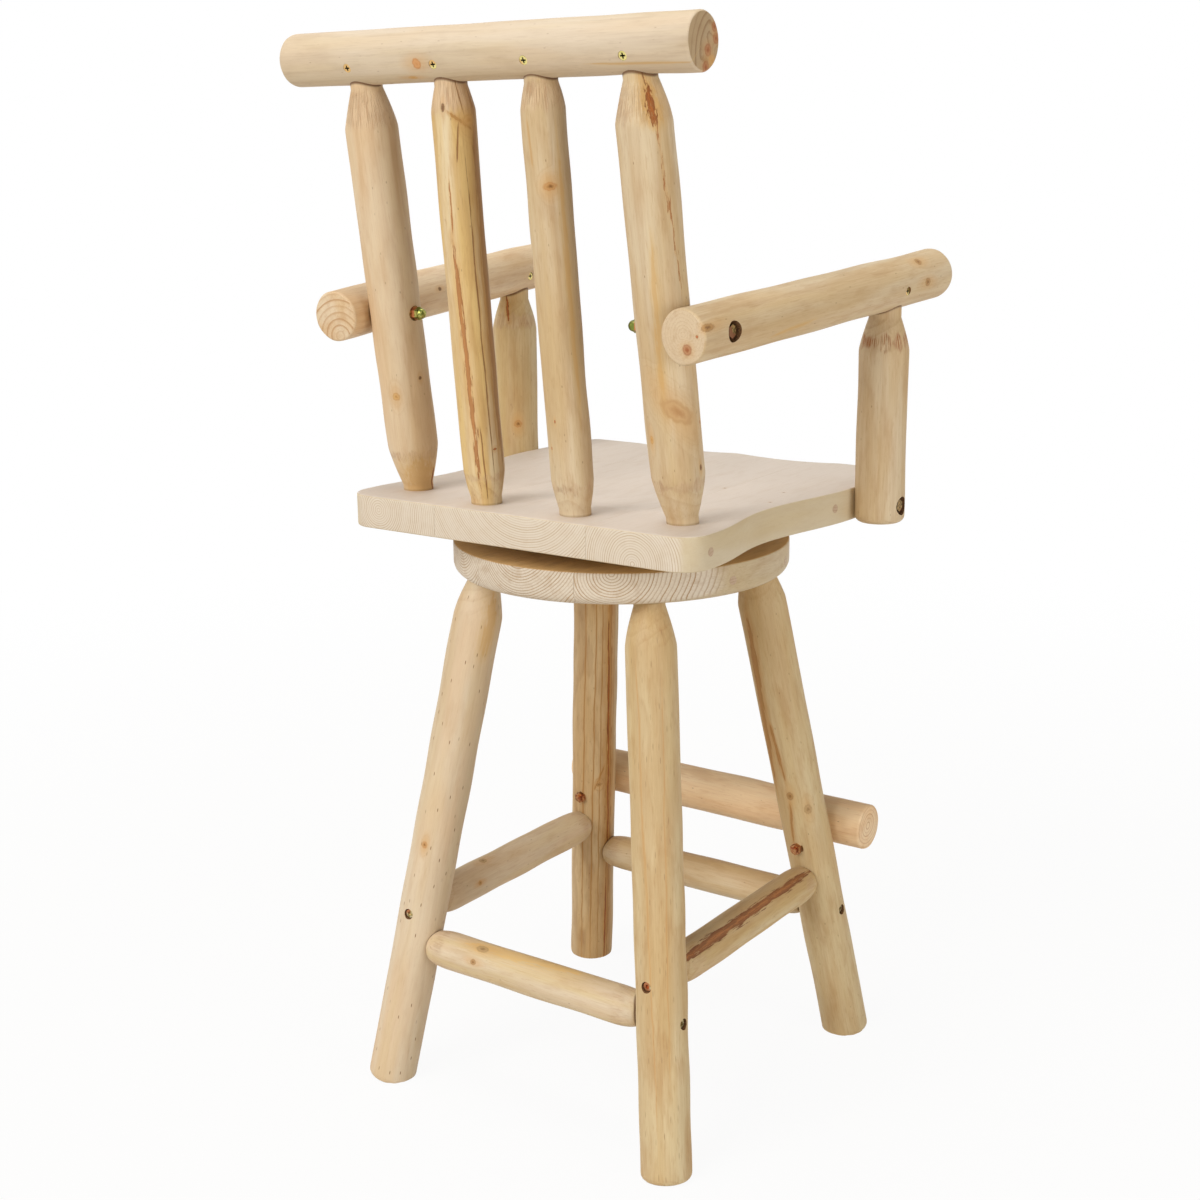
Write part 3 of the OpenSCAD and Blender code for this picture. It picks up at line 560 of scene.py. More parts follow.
class Graph:
    """Adds nodes to one node tree and links them.

    Every value that a method takes may be a Value, a number, or a tuple for a vector or colour. A
    colour may also be the six hexadecimal digits of a screen colour.
    """

    def __init__(self, tree: bpy.types.NodeTree) -> None:
        """Starts on an empty tree."""
        self.tree = tree

    def node(self, kind: str, values: tuple[object, ...] = (), **settings: object) -> bpy.types.Node:
        """Adds a node.

        Args:
            kind: Blender's name for the kind of node.
            values: What its first inputs are given, in order.
            settings: Properties of the node and their values.

        Returns:
            The node.
        """
        made = self.tree.nodes.new(kind)
        for name, value in settings.items():
            setattr(made, name, value)
        for socket, value in zip(made.inputs, values):
            self.put(socket, value)
        return made

    def out(self, kind: str, values: tuple[object, ...] = (), output: int = 0, **settings: object) -> Value:
        """An output of a new node, whose first inputs take the values and whose properties the settings."""
        return Value(self, self.node(kind, values, **settings).outputs[output])

    def put(self, socket: bpy.types.NodeSocket, value: object) -> None:
        """Gives an input its value: a link, or a constant.

        Args:
            socket: The input.
            value: The value.
        """
        if isinstance(value, Value):
            self.tree.links.new(value.socket, socket)
        elif socket.type == "RGBA":
            socket.default_value = (*(shade_of(value) if isinstance(value, int) else value), 1.0)
        else:
            socket.default_value = value

    def fill(self, node: bpy.types.Node, **values: object) -> SimpleNamespace:
        """Gives inputs their values by name.

        Args:
            node: The node.
            values: The inputs' names, with _ for a space, and their values.

        Returns:
            The node's outputs by name, in small letters.
        """
        for name, value in values.items():
            self.put(node.inputs[name.replace("_", " ")], value)
        return SimpleNamespace(**{out.name.lower(): Value(self, out) for out in node.outputs})

    def step(self, operation: str, *terms: object) -> Value:
        """One step of arithmetic, on vectors where any term is one.

        Args:
            operation: Blender's name for it. A product of a vector and a number scales the vector.
            terms: What it works on.

        Returns:
            The result.
        """
        number = all(map(plain, terms))
        if operation == "MULTIPLY" and not number and any(map(plain, terms)):
            operation, terms = "SCALE", sorted(terms, key=plain)
        made = self.node("ShaderNodeMath" if number else "ShaderNodeVectorMath", operation=operation)
        sockets = (made.inputs[0], made.inputs["Scale"]) if operation == "SCALE" else made.inputs
        for socket, term in zip(sockets, terms):
            self.put(socket, term)
        number = number or operation in ("LENGTH", "DOT_PRODUCT")
        return Value(self, made.outputs["Value" if number else "Vector"])

    def noise(self, place: Value, stretch: Triple, detail: float = 2.0, rough: float = 0.5,
              output: str = "Fac") -> Value:
        """Smooth noise with its own scale along each axis.

        Args:
            place: The position.
            stretch: Features per unit along X, Y and Z.
            detail: Number of finer layers.
            rough: Strength of the finer layers.
            output: Fac for a number or Color for three.

        Returns:
            The noise.
        """
        made = self.node("ShaderNodeTexNoise")
        self.fill(made, Vector=place * stretch, Scale=1.0, Detail=detail, Roughness=rough)
        return Value(self, made.outputs[output])

    def mix(self, factor: object, a: object, b: object, blend: str = "MIX") -> Value:
        """Mixes two colours.

        Args:
            factor: Share of the second colour.
            a: First colour.
            b: Second colour.
            blend: Blender's name for the way of mixing.

        Returns:
            The colour.
        """
        made = self.node("ShaderNodeMix", data_type="RGBA", blend_type=blend)
        for index, value in ((0, factor), (6, a), (7, b)):
            self.put(made.inputs[index], value)
        return Value(self, made.outputs[2])

    def use(self, group: bpy.types.NodeTree, **values: object) -> SimpleNamespace:
        """Places a node group with its values, and gives its outputs by name."""
        return self.fill(self.node("ShaderNodeGroup", node_tree=group), **values)

    def surface(self, **values: object) -> None:
        """Adds the shader with its values by name, and the output of a material."""
        shader = self.fill(self.node("ShaderNodeBsdfPrincipled"), **values)
        self.fill(self.node("ShaderNodeOutputMaterial"), Surface=shader.bsdf)

    def relief(self, height: Value, strength: float, depth: float) -> Value:
        """The normal of a fine relief, from its height, its strength and its depth in metres."""
        return self.fill(self.node("ShaderNodeBump"), Strength=strength, Distance=depth, Height=height).normal


def new_material(name: str) -> tuple[bpy.types.Material, Graph, SimpleNamespace]:
    """Starts a material.

    Args:
        name: Its name.

    Returns:
        The material, the graph of its nodes, and its texture coordinates.
    """
    made = bpy.data.materials.new(name)
    made.use_nodes = True
    made.node_tree.nodes.clear()
    g = Graph(made.node_tree)
    return made, g, g.fill(g.node("ShaderNodeTexCoord"))


KINDS = {"": "NodeSocketFloat", "V": "NodeSocketVector", "C": "NodeSocketColor"}


def new_group(name: str, takes: str, gives: str) -> tuple[Graph, list[Value], bpy.types.Node]:
    """Starts a node group.

    Args:
        name: Name of the group.
        takes: Its inputs, with _ for a space in a name. A vector ends with :V, a colour with :C.
        gives: Its outputs, in the same way.

    Returns:
        The graph inside the group, its inputs in order, and its output node.
    """
    tree = bpy.data.node_groups.new(name, "ShaderNodeTree")
    for labels, way in ((takes, "INPUT"), (gives, "OUTPUT")):
        for label in labels.split():
            text, _, kind = label.partition(":")
            tree.interface.new_socket(text.replace("_", " "), in_out=way, socket_type=KINDS[kind])
    g = Graph(tree)
    inside = g.node("NodeGroupInput")
    return g, [Value(g, out) for out in inside.outputs[:len(takes.split())]], g.node("NodeGroupOutput")


def grain_group() -> bpy.types.NodeTree:
    """Growth rings round the Z axis of a piece's own frame, which is in millimetres, and fibres.

    Rings are shells at even distances from the pith, pushed about by slow noise, so that a sawn
    end shows arcs and a side shows long flames. Each ring darkens slowly outwards and ends
    sharply. Lift pushes the rings aside, as a knot does.

    Returns:
        The group.
    """
    g, (position, width, wander, lift, seed), out = new_group(
        "growth_rings", "Position:V Ring_Width Wander Lift Seed", "Ring Fibre Stroke Blotch")
    place = position + seed * (37.0, 91.0, 53.0)
    push = (g.noise(place, (0.012, 0.012, 0.0022), 1.5, output="Color") - HALF) * (wander * 2.0)
    ripple = (g.noise(place, (0.05, 0.05, 0.006), 3.0) - 0.5) * (wander * 0.55)
    count = (((position + push) * FLAT).length + ripple + lift) / width
    share = g.step("FRACT", count)
    own = g.fill(g.node("ShaderNodeTexWhiteNoise", noise_dimensions="1D"), W=g.step("FLOOR", count) + seed)
    g.fill(out, Ring=share.rise(0.50, 0.90) * share.fall(0.90, 1.0) * (own.value * 0.6 + 0.4),
           Fibre=g.noise(place, (0.85, 0.85, 0.022), 3.5, 0.6),
           Stroke=g.noise(place, (0.60, 0.60, 0.055), 3.0, 0.6).rise(0.53, 0.70),
           Blotch=g.noise(place, (0.075, 0.075, 0.020), 3.0, 0.55).rise(0.48, 0.70))
    return g.tree


def knot_group() -> bpy.types.NodeTree:
    """One knot: a soft core with a dark heart, a dark rim and a warm halo along the grain.

    The distance from the knot's middle is taken with each direction squeezed by Shape, so that
    the knot is longer along the grain, and sheared by Lean, so that it slants. A little noise
    makes its outline uneven.

    Returns:
        The group.
    """
    g, (position, middle, radius, shape, lean, soft), out = new_group(
        "knot", "Position:V Middle:V Radius Shape:V Lean Soft", "Core Heart Rim Halo")
    off = position - middle
    away = (off + off.part(2) * lean * (0.0, 1.0, 0.0)) * shape
    drift = (g.noise(off * (2.1 / radius), (1.0, 1.0, 0.7), 3.0, 0.6) - 0.5) * 0.75
    reach = away.length / radius + drift
    flow = (away * (1.0, 1.0, 0.5)).length / radius + drift
    g.fill(out, Core=reach.rise(1.0 - soft, soft * 0.5 + 1.0, 1.0, 0.0), Heart=reach.fall(0.05, 0.70),
           Rim=reach.rise(0.60, 0.90) * reach.fall(0.90, 1.25), Halo=flow.fall(0.4, 2.8))
    return g.tree


def streak_group() -> bpy.types.NodeTree:
    """A ragged streak along a log from one side to another: inner bark, resin, or painted shade on its shaded side.

    Its line wanders a little sideways with slow noise, its width swells and shrinks, its ends
    fade and dark grit breaks it up. Distances are taken by angle, at the radius of its line, so
    that it runs on over a cone.

    Returns:
        The group.
    """
    g, (position, side, side_end, start, stop, width, wander, ragged), out = new_group(
        "streak", "Position:V Side:V Side_End:V From To Width Wander Ragged", "Mask Edge Grit Rim")
    share = (position.part(2) - start) / (stop - start)
    sway = (g.noise(position + side, (0.0, 0.0, 0.016), 3.0, output="Color") - HALF) * (wander * 2.0)
    centre = side + (side_end - side) * share + sway
    here = g.step("NORMALIZE", position * FLAT) * (centre * FLAT).length
    tear = g.noise(position, (0.45, 0.45, 0.04), 4.0, 0.60)
    closing = g.step("POWER", g.step("MINIMUM", abs(share * 2.0 - 1.0), 1.6), 4.0)
    reach = ((here - centre) * FLAT).length / (width * 0.5) + (tear - 0.48) * (ragged * 2.2) + closing
    g.fill(out, Mask=reach.fall(0.80, 1.25), Edge=reach.fall(0.8, 3.2), Grit=tear.fall(0.42, 0.56),
           Rim=reach.rise(0.35, 0.85) * reach.fall(0.85, 1.2))
    return g.tree


def ticks_group() -> bpy.types.NodeTree:
    """Short torn fibres in a band round a log, where the cutter of the taper left it.

    Returns:
        The group.
    """
    g, (position, middle, half, seed, dense), out = new_group(
        "torn_fibres", "Position:V Middle Half Seed Dense", "Mask Band")
    unrolled = g.step("NORMALIZE", position * FLAT) * 26.0 + position * (0.0, 0.0, 1.0)
    place = unrolled + seed * (17.0, 5.0, 71.0)
    away = (g.noise(place, (0.11, 0.11, 0.0)) - 0.5) * -26.0 + abs(position.part(2) - middle)
    band = (away / half).fall(0.45, 1.1)
    torn = g.noise(place, (1.50, 1.50, 0.045), 1.0)
    level = (g.noise(place, (0.05, 0.05, 0.03), 1.0) - 0.5) * 0.35 + torn + dense
    g.fill(out, Mask=band * level.rise(0.55, 0.62), Band=band)
    return g.tree


def flecks_group() -> bpy.types.NodeTree:
    """Small dark dashes scattered over a log's side: pin knots and resin ducts.

    The side is unrolled flat and cut into cells, each with one dash of random strength.

    Returns:
        The group.
    """
    g, (position, radius, across, along, long, seed), out = new_group(
        "flecks", "Position:V Radius Across Along Long Seed", "Mask")
    arc = g.step("ARCTAN2", position.part(1), position.part(0)) * radius
    flat = g.out("ShaderNodeCombineXYZ", (arc / across, seed * 7.3 + position.part(2) / along))
    cell = g.fill(g.node("ShaderNodeTexVoronoi", voronoi_dimensions="2D", feature="F1"), Vector=flat, Scale=1.0,
                  Randomness=0.9)
    size = g.out("ShaderNodeCombineXYZ", (across / 0.55, along / long))
    mark = ((flat - cell.position) * size).length.fall(0.5, 1.3)
    g.fill(out, Mask=mark * cell.color.part(0).rise(0.35, 0.9))
    return g.tree


def passivation_group() -> bpy.types.NodeTree:
    """The changing tints of yellow zinc: gold, olive and copper in soft clouds.

    Returns:
        The group.
    """
    g, (position, gold, olive, copper), out = new_group(
        "passivation", "Position:V Gold:C Olive:C Copper:C", "Color:C Cloud")
    wide = g.noise(position, (48.0, 61.0, 53.0), 1.0)
    small = g.noise(position, (340.0, 340.0, 340.0), 3.0, 0.6)
    colour = g.mix(small.rise(0.40, 0.62), gold, olive)
    g.fill(out, Color=g.mix(wide.rise(0.52, 0.60), colour, copper), Cloud=small)
    return g.tree


def joint_shade_group() -> bpy.types.NodeTree:
    """Painted shade in the hairline gap where a piece runs into a plane or, where Round is 1, into a round log.

    Returns:
        The group.
    """
    g, (position, start, way, radius, rounded), out = new_group(
        "joint_gap_shade", "Position:V Start:V Way:V Radius Round", "Mask")
    off = position - start
    level = g.step("DOT_PRODUCT", off, way)
    away = g.step("CROSS_PRODUCT", off, way).length
    g.fill(out, Mask=((away - level) * rounded + level - radius).fall(0.0006, 0.0030))
    return g.tree


GRAIN, KNOT, STREAK, TICKS = grain_group(), knot_group(), streak_group(), ticks_group()
FLECKS, PASSIVATION, JOINT = flecks_group(), passivation_group(), joint_shade_group()


def shaded_bore_wood() -> bpy.types.Material:
    """The torn wood inside a drilled hole, darkened with painted shade of the recess.

    Returns:
        The material.
    """
    made, g, coords = new_material("wood_bore")
    torn = g.noise(coords.object, (900.0, 900.0, 900.0), 3.0, 0.6)
    # Painted shade: both browns are darker than the wood, for the shade deep in the hole
    g.surface(Base_Color=g.mix(torn.rise(0.35, 0.68), 0x966C42, 0x543820), Roughness=0.85)
    return made


SHADED_BORE_WOOD = shaded_bore_wood()


class Tone(Enum):
    """Tones of the wood: its pale, warm and golden parts and its ring lines. One is painted light."""

    CREAM = (0xE0CEB2, 0xDEC5A4, 0xD7C090, 0xBA9262)
    RAIL = (0xDAC9B1, 0xD8C3A6, 0xD3BE95, 0x926E46)
    ROSE = (0xE4CFAF, 0xDEC19A, 0xDABC8A, 0xBA8C5E)
    TAN = (0xDCC9A8, 0xD2B88F, 0xCEB07C, 0xB08454)
    HONEY = (0xDAC79E, 0xCEB386, 0xCBAA6C, 0xAC7A42)
    GOLDEN = (0xE7D5AF, 0xE3CA9C, 0xE0C080, 0xB48046)
    # Painted light: paler than the wood, so that the foot bar shows bright where it lies in shade
    PEACH_LIGHTENED = (0xF6DDB8, 0xF4D3A9, 0xF0CB96, 0xC89460)
    BROWN = (0xDAC094, 0xD0AE7C, 0xC8A268, 0x966230)
    BOARD = (0xD6C7AA, 0xD2C09E, 0xD0BB90, 0xB49264)
    DISC = (0xD0C0A3, 0xCDBA97, 0xC9B388, 0xA68052)
    DOWEL = (0xCEB8A0, 0xC8AE94, 0xC4AE92, 0xA07C5C)


class KnotKind(Enum):
    """How a knot looks: core, rim and heart, how strong its halo is and how soft its edge."""

    TIGHT = (0xC28A48, 0xC0884A, 0x643814, 0.60, 0.80)
    DISC = (0xD69A60, 0xC08048, 0xCC8E54, 0.45, 0.15)
    WIDE = (0xC69D6B, 0xBC915E, 0xB28250, 0.40, 0.70)
    PALE = (0xD8AA68, 0xC28E4E, 0xB47E42, 0.45, 0.50)
    RED = (0xBA6232, 0x703C20, 0xCC743A, 0.40, 0.40)
    DARK = (0x845A34, 0x684424, 0x50321C, 0.40, 0.40)
    SOFT = (0xD4A666, 0xCC9C5C, 0xC89452, 0.45, 0.75)
    GREY = (0xBC9A6A, 0xAA8658, 0x8A663E, 0.35, 0.60)
    AGED = (0xB48850, 0xA07442, 0x704824, 0.45, 0.50)
    RUST = (0xB27042, 0x9E5C34, 0x924E2A, 0.40, 0.80)


@dataclass(frozen=True)
class Knot:
    """A knot: distance from the piece's start and radius in mm, turn in degrees.

    out is the distance of its middle from the piece's axis in mm, or the log's radius where it is
    not given. lean slants it. through is true for a knot that runs through a board.
    """

    along: float
    turn: float
    radius: float
    kind: KnotKind = KnotKind.TIGHT
    stretch: float = 1.25
    out: float | None = None
    lean: float = 0.0
    through: bool = False

    @property
    def shape(self) -> Triple:
        """How much each direction of the distance from its middle counts."""
        return 1.0, 0.0 if self.through else 1.0, 1.0 / self.stretch


class StreakKind(Enum):
    """What a streak is made of, or painted shade: its colour, its edge's colour, shares of each and of grit, depth.
    """

    BARK = (0xB6723E, 0xD4AA70, 0.92, 0.25, 0.65, 0.8)
    FLAME = (0xB06222, 0xCE9C52, 0.94, 0.45, 0.50, 0.4)
    STAIN = (0xD0A462, 0xD4B072, 0.45, 0.40, 0.0, 0.0)
    RESIN = (0xC07C40, 0xD6A86A, 0.82, 0.45, 0.32, 0.4)
    GOLD = (0xEAC076, 0xE6C284, 0.60, 0.40, 0.0, 0.0)
    CRACK = (0x926032, 0xC4965A, 0.75, 0.30, 0.3, 0.6)
    LINE = (0xC49458, 0xD0A870, 0.50, 0.25, 0.0, 0.0)
    # Partly painted shade, as wide brown bands along a log's shaded side, and partly real brown lines and smears
    BROWN_MARK_AND_SHADE = (0xAC7434, 0xC08E4E, 0.60, 0.55, 0.15, 0.0)


@dataclass(frozen=True)
class Streak:
    """A streak along a log: its ends, width, sway and raggedness in mm.

    turn is where it starts round the log and turn_end where it ends, in degrees.
    """

    start: float
    end: float
    turn: float
    turn_end: float
    width: float
    kind: StreakKind = StreakKind.BARK
    wander: float = 1.5
    ragged: float = 1.4


@dataclass(frozen=True)
class Joint:
    """What a log runs into: a plane through start, square to way, or a log of a radius along way.

    share says how dark the painted shade in the hairline gap there is.
    """

    start: Triple
    way: Triple
    radius: float = 0.0
    share: float = 0.85


# Screen colours of small marks in and on the wood, with the painted shade of the gaps at joints, and how they lie on
# it
FLECK, JOINT_SHADE_TONE, TORN_FRESH, TORN_DARK = 0x845832, 0x603A1C, 0xDCBE9A, 0xAC7044
STREAK_GRIT, STREAK_RIM, KNOT_HALO = 0x603618, 0x70401E, 0xD0A062
RINGS_ROUND_KNOT = 1.4  # how far a knot pushes the rings aside, in its radii
END_SOFT = 0.17  # over how much of the normal's share a side turns into an end
TORN_USUAL = 0.36  # the share of torn fibres whose patches are of the usual size
WOOD_RELIEF = (0.6, 0.0006)  # strength, and depth in metres
# Looks of the plated pieces, with the painted shade of the screws' cross recesses
COPPER_BASE, CROSS_SHADE_TONE = 0xC47E54, 0x221A10
SCRATCHES = (2600.0, 2600.0, 900.0)
PLATE_RELIEF = (0.2, 0.0001)


@dataclass(frozen=True)
class Wood:
    """The finish of one piece of softwood. Lengths are in mm.

    gold_share says how golden it is. ring_width, ring_strength, end_strength and wander shape the
    growth rings on its sides and ends, fibre and fleck_share its fine marks. pith is the place of
    the rings' middle in the piece's own frame, and end_tone a tone that weathered ends take on;
    a face counts as an end where its normal's share along the piece is over end_from. The top tone
    is painted on the faces that look up as light and shade: the seat's top lit paler, the disc's top
    partly its own golden wood and partly the warm shade under the seat. flame is the strength of
    the long dark flames. tapers holds the middle and half length of each band of torn fibres and
    how fresh its wood looks.
    """

    name: str
    seed: float
    tone: Tone = Tone.CREAM
    gold_share: float = 0.5
    ring_width: float = 3.4
    ring_strength: float = 0.16
    end_strength: float = 0.45
    wander: float = 4.5
    fibre: float = 0.35
    fleck_share: float = 0.55
    fleck_across: float = 15.0
    fleck_along: float = 42.0
    fleck_long: float = 1.5
    rough: float = 0.58
    radius: float = 29.0
    pith: tuple[float, float] = (2.0, -3.0)
    end_tone: int | None = None
    end_from: float = 0.80
    painted_top_tone: int | None = None
    flame: float = 0.22
    tapers: tuple[Triple, ...] = ()
    torn_share: float = TORN_USUAL
    knots: tuple[Knot, ...] = ()
    streaks: tuple[Streak, ...] = ()

    def side(self, turn: float, along: float = 0.0, out: float | None = None) -> Triple:
        """The point at a turn from the shown side, a distance along and one out from the axis."""
        r = self.radius if out is None else out
        return r * math.cos(math.radians(turn)), r * math.sin(math.radians(turn)), along

    def material(self, axis: Axis, joints: tuple[Joint, ...] = ()) -> bpy.types.Material:
        """Builds the finish for a piece that lies along an axis.

        Args:
            axis: The piece's own frame.
            joints: What the piece runs into, in the stool's frame.

        Returns:
            The material.
        """
        made, g, coords = new_material(f"wood_{self.name}")
        place = g.fill(g.node("ShaderNodeMapping", vector_type="TEXTURE"), Vector=coords.object, Location=axis.start,
                       Rotation=Matrix(axis.turn.tolist()).to_euler(), Scale=(MM, MM, MM)).vector
        marks = [g.use(KNOT, Position=place, Middle=self.side(knot.turn, knot.along, knot.out), Radius=knot.radius,
                       Shape=knot.shape, Lean=knot.lean, Soft=knot.kind.value[4]) for knot in self.knots]
        lift = 0.0
        for knot, mark in zip(self.knots, marks):
            lift = mark.halo * (knot.radius * RINGS_ROUND_KNOT) + lift
        grain = g.use(GRAIN, Position=place - (*self.pith, 0.0), Ring_Width=self.ring_width, Wander=self.wander,
                      Lift=lift, Seed=self.seed)
        end = abs(g.step("DOT_PRODUCT", coords.normal, axis.way)).rise(self.end_from, self.end_from + END_SOFT)
        colour = self.ground(g, place)
        if self.end_tone:
            colour = g.mix(end * 0.8, colour, self.end_tone)
        # Painted light and shade: faces that look up take the top tone, a paler lit top on the seat and a warmer
        # shaded top on the disc
        if self.painted_top_tone:
            colour = g.mix(coords.normal.part(2).rise(0.6, 0.9, 0.0, 0.85), colour, self.painted_top_tone)
        late = self.tone.value[3]
        strength = end * (self.end_strength - self.ring_strength) + self.ring_strength
        colour = g.mix(grain.ring * strength, colour, late)
        colour = g.mix(grain.fibre.rise(0.34, 0.70) * (self.fibre * 0.30), colour, late, "MULTIPLY")
        for share in (grain.stroke, grain.blotch):
            colour = g.mix(share * (self.fibre * 0.75), colour, late)
        if self.fleck_share:
            specks = g.use(FLECKS, Position=place, Radius=self.radius, Across=self.fleck_across,
                           Along=self.fleck_along, Long=self.fleck_long, Seed=self.seed)
            colour = g.mix(specks.mask * (1.0 - end) * self.fleck_share, colour, FLECK)
        colour, height = self.marked(g, place, marks, colour, grain.fibre * 0.35 + grain.ring * 0.3)
        # Painted shade in the hairline gap at each joint, where the piece runs into another
        for joint in joints:
            line = g.use(JOINT, Position=coords.object, Start=joint.start, Way=joint.way, Radius=joint.radius,
                         Round=float(joint.radius > 0))
            colour = g.mix(line.mask * joint.share, colour, JOINT_SHADE_TONE)
        g.surface(Base_Color=colour, Roughness=grain.fibre * 0.16 + (self.rough - 0.08), Specular_IOR_Level=0.35,
                  Normal=g.relief(height, *WOOD_RELIEF))
        return made

    def ground(self, g: Graph, place: Value) -> Value:
        """The wood's slow changes of tone along and round the piece.

        Args:
            g: The material's graph.
            place: Position in the piece's own frame.

        Returns:
            The colour.
        """
        pale, warm, gold, late = self.tone.value
        shifted = place + (self.seed * 61.0, self.seed * 29.0, self.seed * 83.0)
        turned = shifted + (211.0, 97.0, 401.0)
        colour = g.mix(g.noise(shifted, (0.030, 0.030, 0.0050)).rise(0.38, 0.64), pale, warm)
        golden = g.noise(turned, (0.045, 0.045, 0.0035), 2.5).rise(0.42, 0.66)
        colour = g.mix(golden * self.gold_share, colour, gold)
        return g.mix(g.noise(turned, (0.11, 0.11, 0.0045), 3.0, 0.6).rise(0.50, 0.76, 0.0, self.flame), colour, late)

    def marked(self, g: Graph, place: Value, marks: list[SimpleNamespace], colour: Value,
               height: Value) -> tuple[Value, Value]:
        """Adds the torn fibres where the tapers start, the streaks and the knots.

        Args:
            g: The material's graph.
            place: Position in the piece's own frame.
            marks: The masks of each knot.
            colour: Colour so far.
            height: Height so far.

        Returns:
            The new colour and height.
        """
        for middle, half, fresh in self.tapers:
            ticks = g.use(TICKS, Position=place, Middle=middle, Half=half, Seed=self.seed,
                          Dense=(self.torn_share - TORN_USUAL) * 0.12)
            colour = g.mix(ticks.band * fresh, colour, TORN_FRESH)
            colour = g.mix(ticks.mask * self.torn_share, colour, TORN_DARK)
            height = ticks.mask * -1.2 + height
        for streak in self.streaks:
            core, edge, core_share, edge_share, grit, depth = streak.kind.value
            mark = g.use(STREAK, Position=place, Side=self.side(streak.turn), Side_End=self.side(streak.turn_end),
                         From=streak.start, To=streak.end, Width=streak.width, Wander=streak.wander,
                         Ragged=streak.ragged)
            colour = g.mix(mark.edge * edge_share, colour, edge)
            colour = g.mix(mark.mask * core_share, colour, g.mix(mark.grit * grit, core, STREAK_GRIT))
            colour = g.mix(mark.rim * grit, colour, STREAK_RIM)
            height = mark.mask * -depth + height
        for knot, mark in zip(self.knots, marks):
            core, rim, heart, halo, _ = knot.kind.value
            for share, tone in ((mark.halo * halo, KNOT_HALO), (mark.core * 0.85, core), (mark.rim * 0.55, rim),
                                (mark.heart * 0.70, heart)):
                colour = g.mix(share, colour, tone)
            height = mark.core * 0.5 + height
        return colour, height


@dataclass(frozen=True)
class Drive:
    """Painted shade in the cross recesses of the heads of a row of screws, in metres.

    middle is the middle of the row and spots the heads' distances from it, along is the row's
    direction or one arm of the cross, and up the other arm's.
    """

    middle: Triple
    along: Triple
    up: Triple
    spots: tuple[float, ...]

    def mask(self, g: Graph, place: Value) -> Value:
        """Where the cross is.

        Args:
            g: The material's graph.
            place: Position in the stool's frame.

        Returns:
            The mask.
        """
        far = abs(g.step("DOT_PRODUCT", place - self.middle, self.along))
        near = 1.0
        for spot in self.spots:
            near = g.step("MINIMUM", abs(far - spot), near)
        level = abs(g.step("DOT_PRODUCT", place - self.middle, self.up))
        arm = g.step("MINIMUM", near, level).fall(0.0006, 0.0011)
        return arm * g.step("MAXIMUM", near, level).fall(0.0026, 0.0034)


@dataclass(frozen=True)
class Plating:
    """The finish of a metal or plastic piece: three tints, its shine and the painted shade in its screws' crosses.

    Farther than copper_from metres from the middle plane it takes on a copper tint.
    """

    name: str
    gold: int
    olive: int
    copper: int
    rough: float = 0.34
    metallic: float = 1.0
    drives: tuple[Drive, ...] = ()
    copper_from: float | None = None

    def material(self) -> bpy.types.Material:
        """Builds the finish: clouds of the tints and fine scratches.

        Returns:
            The material.
        """
        made, g, coords = new_material(self.name)
        tints = g.use(PASSIVATION, Position=coords.object, Gold=self.gold, Olive=self.olive, Copper=self.copper)
        colour = tints.color
        if self.copper_from:
            base = abs(coords.object.part(0)).rise(self.copper_from, self.copper_from + MM)
            colour = g.mix(base, colour, COPPER_BASE)
        # Painted shade in the screws' cross recesses
        for drive in self.drives:
            colour = g.mix(drive.mask(g, coords.object), colour, CROSS_SHADE_TONE)
        fine = g.noise(coords.object, SCRATCHES, 2.0, 0.6)
        g.surface(Base_Color=colour, Metallic=self.metallic, Roughness=tints.cloud * 0.25 + (self.rough - 0.12),
                  Normal=g.relief(fine, *PLATE_RELIEF))
        return made


@dataclass(frozen=True)
class Log:
    """A peeled log: a profile turned round its axis, with the swellings of real wood.

    profile holds distances from the start and radii as rows, in metres, without the middles of
    the ends. The surface of angle and distance is the profile's radius at that distance plus the
    wave's height, which fades out on tenons and rounded ends: there is none up to the share
    calm_to of the full radius. floor_cut cuts the log off at the floor.
    """

    node: str
    body: str
    slot: str
    axis: Axis
    profile: np.ndarray
    wood: Wood
    wave: Wave
    bores: tuple[Bore, ...] = ()
    joints: tuple[Joint, ...] = ()
    floor_cut: bool = False
    columns: int = 96
    step: float = 0.004
    calm_to: float = 0.82
    calm_over: float = 0.16

    def build(self) -> None:
        """Makes the log and dresses it."""
        rows = finer(self.profile, self.step)
        along, radius = rows[:, :1], rows[:, 1:]
        turn = np.arange(self.columns) / self.columns * CIRCLE
        full = float(radius.max())
        waved = np.clip((radius / full - self.calm_to) / self.calm_over, 0, 1) ** 2
        out = radius + self.wave.lift(along, turn, self.axis.length) * waved
        local = np.stack([out * np.cos(turn), out * np.sin(turn), along + 0 * out], axis=-1).reshape(-1, 3)
        ends = [(0, 0, rows[0, 0]), (0, 0, rows[-1, 0])]
        points = np.vstack([local, ends]) @ self.axis.turn.T + self.axis.start
        if self.floor_cut:
            below = np.minimum(points[:, 2:], 0)
            points = points - self.axis.way * below / self.axis.way[2]
        piece = mesh_object(f"peeled_{self.node}", points, ring_faces(len(rows), self.columns))
        piece.data.materials.append(self.wood.material(self.axis, self.joints))
        if self.bores:
            cut(piece, self.bores)
        hand_over(piece, self.node, self.body)


def leg_axis(sx: int, sy: int) -> Axis:
    """The axis of a leg from the floor to the underside of the disc, by the signs of its X and Y."""
    return Axis((sx * S.foot_x, sy * S.foot_y, 0.0), (sx * S.leg_top_x, sy * S.leg_top_y, S.disc_under))


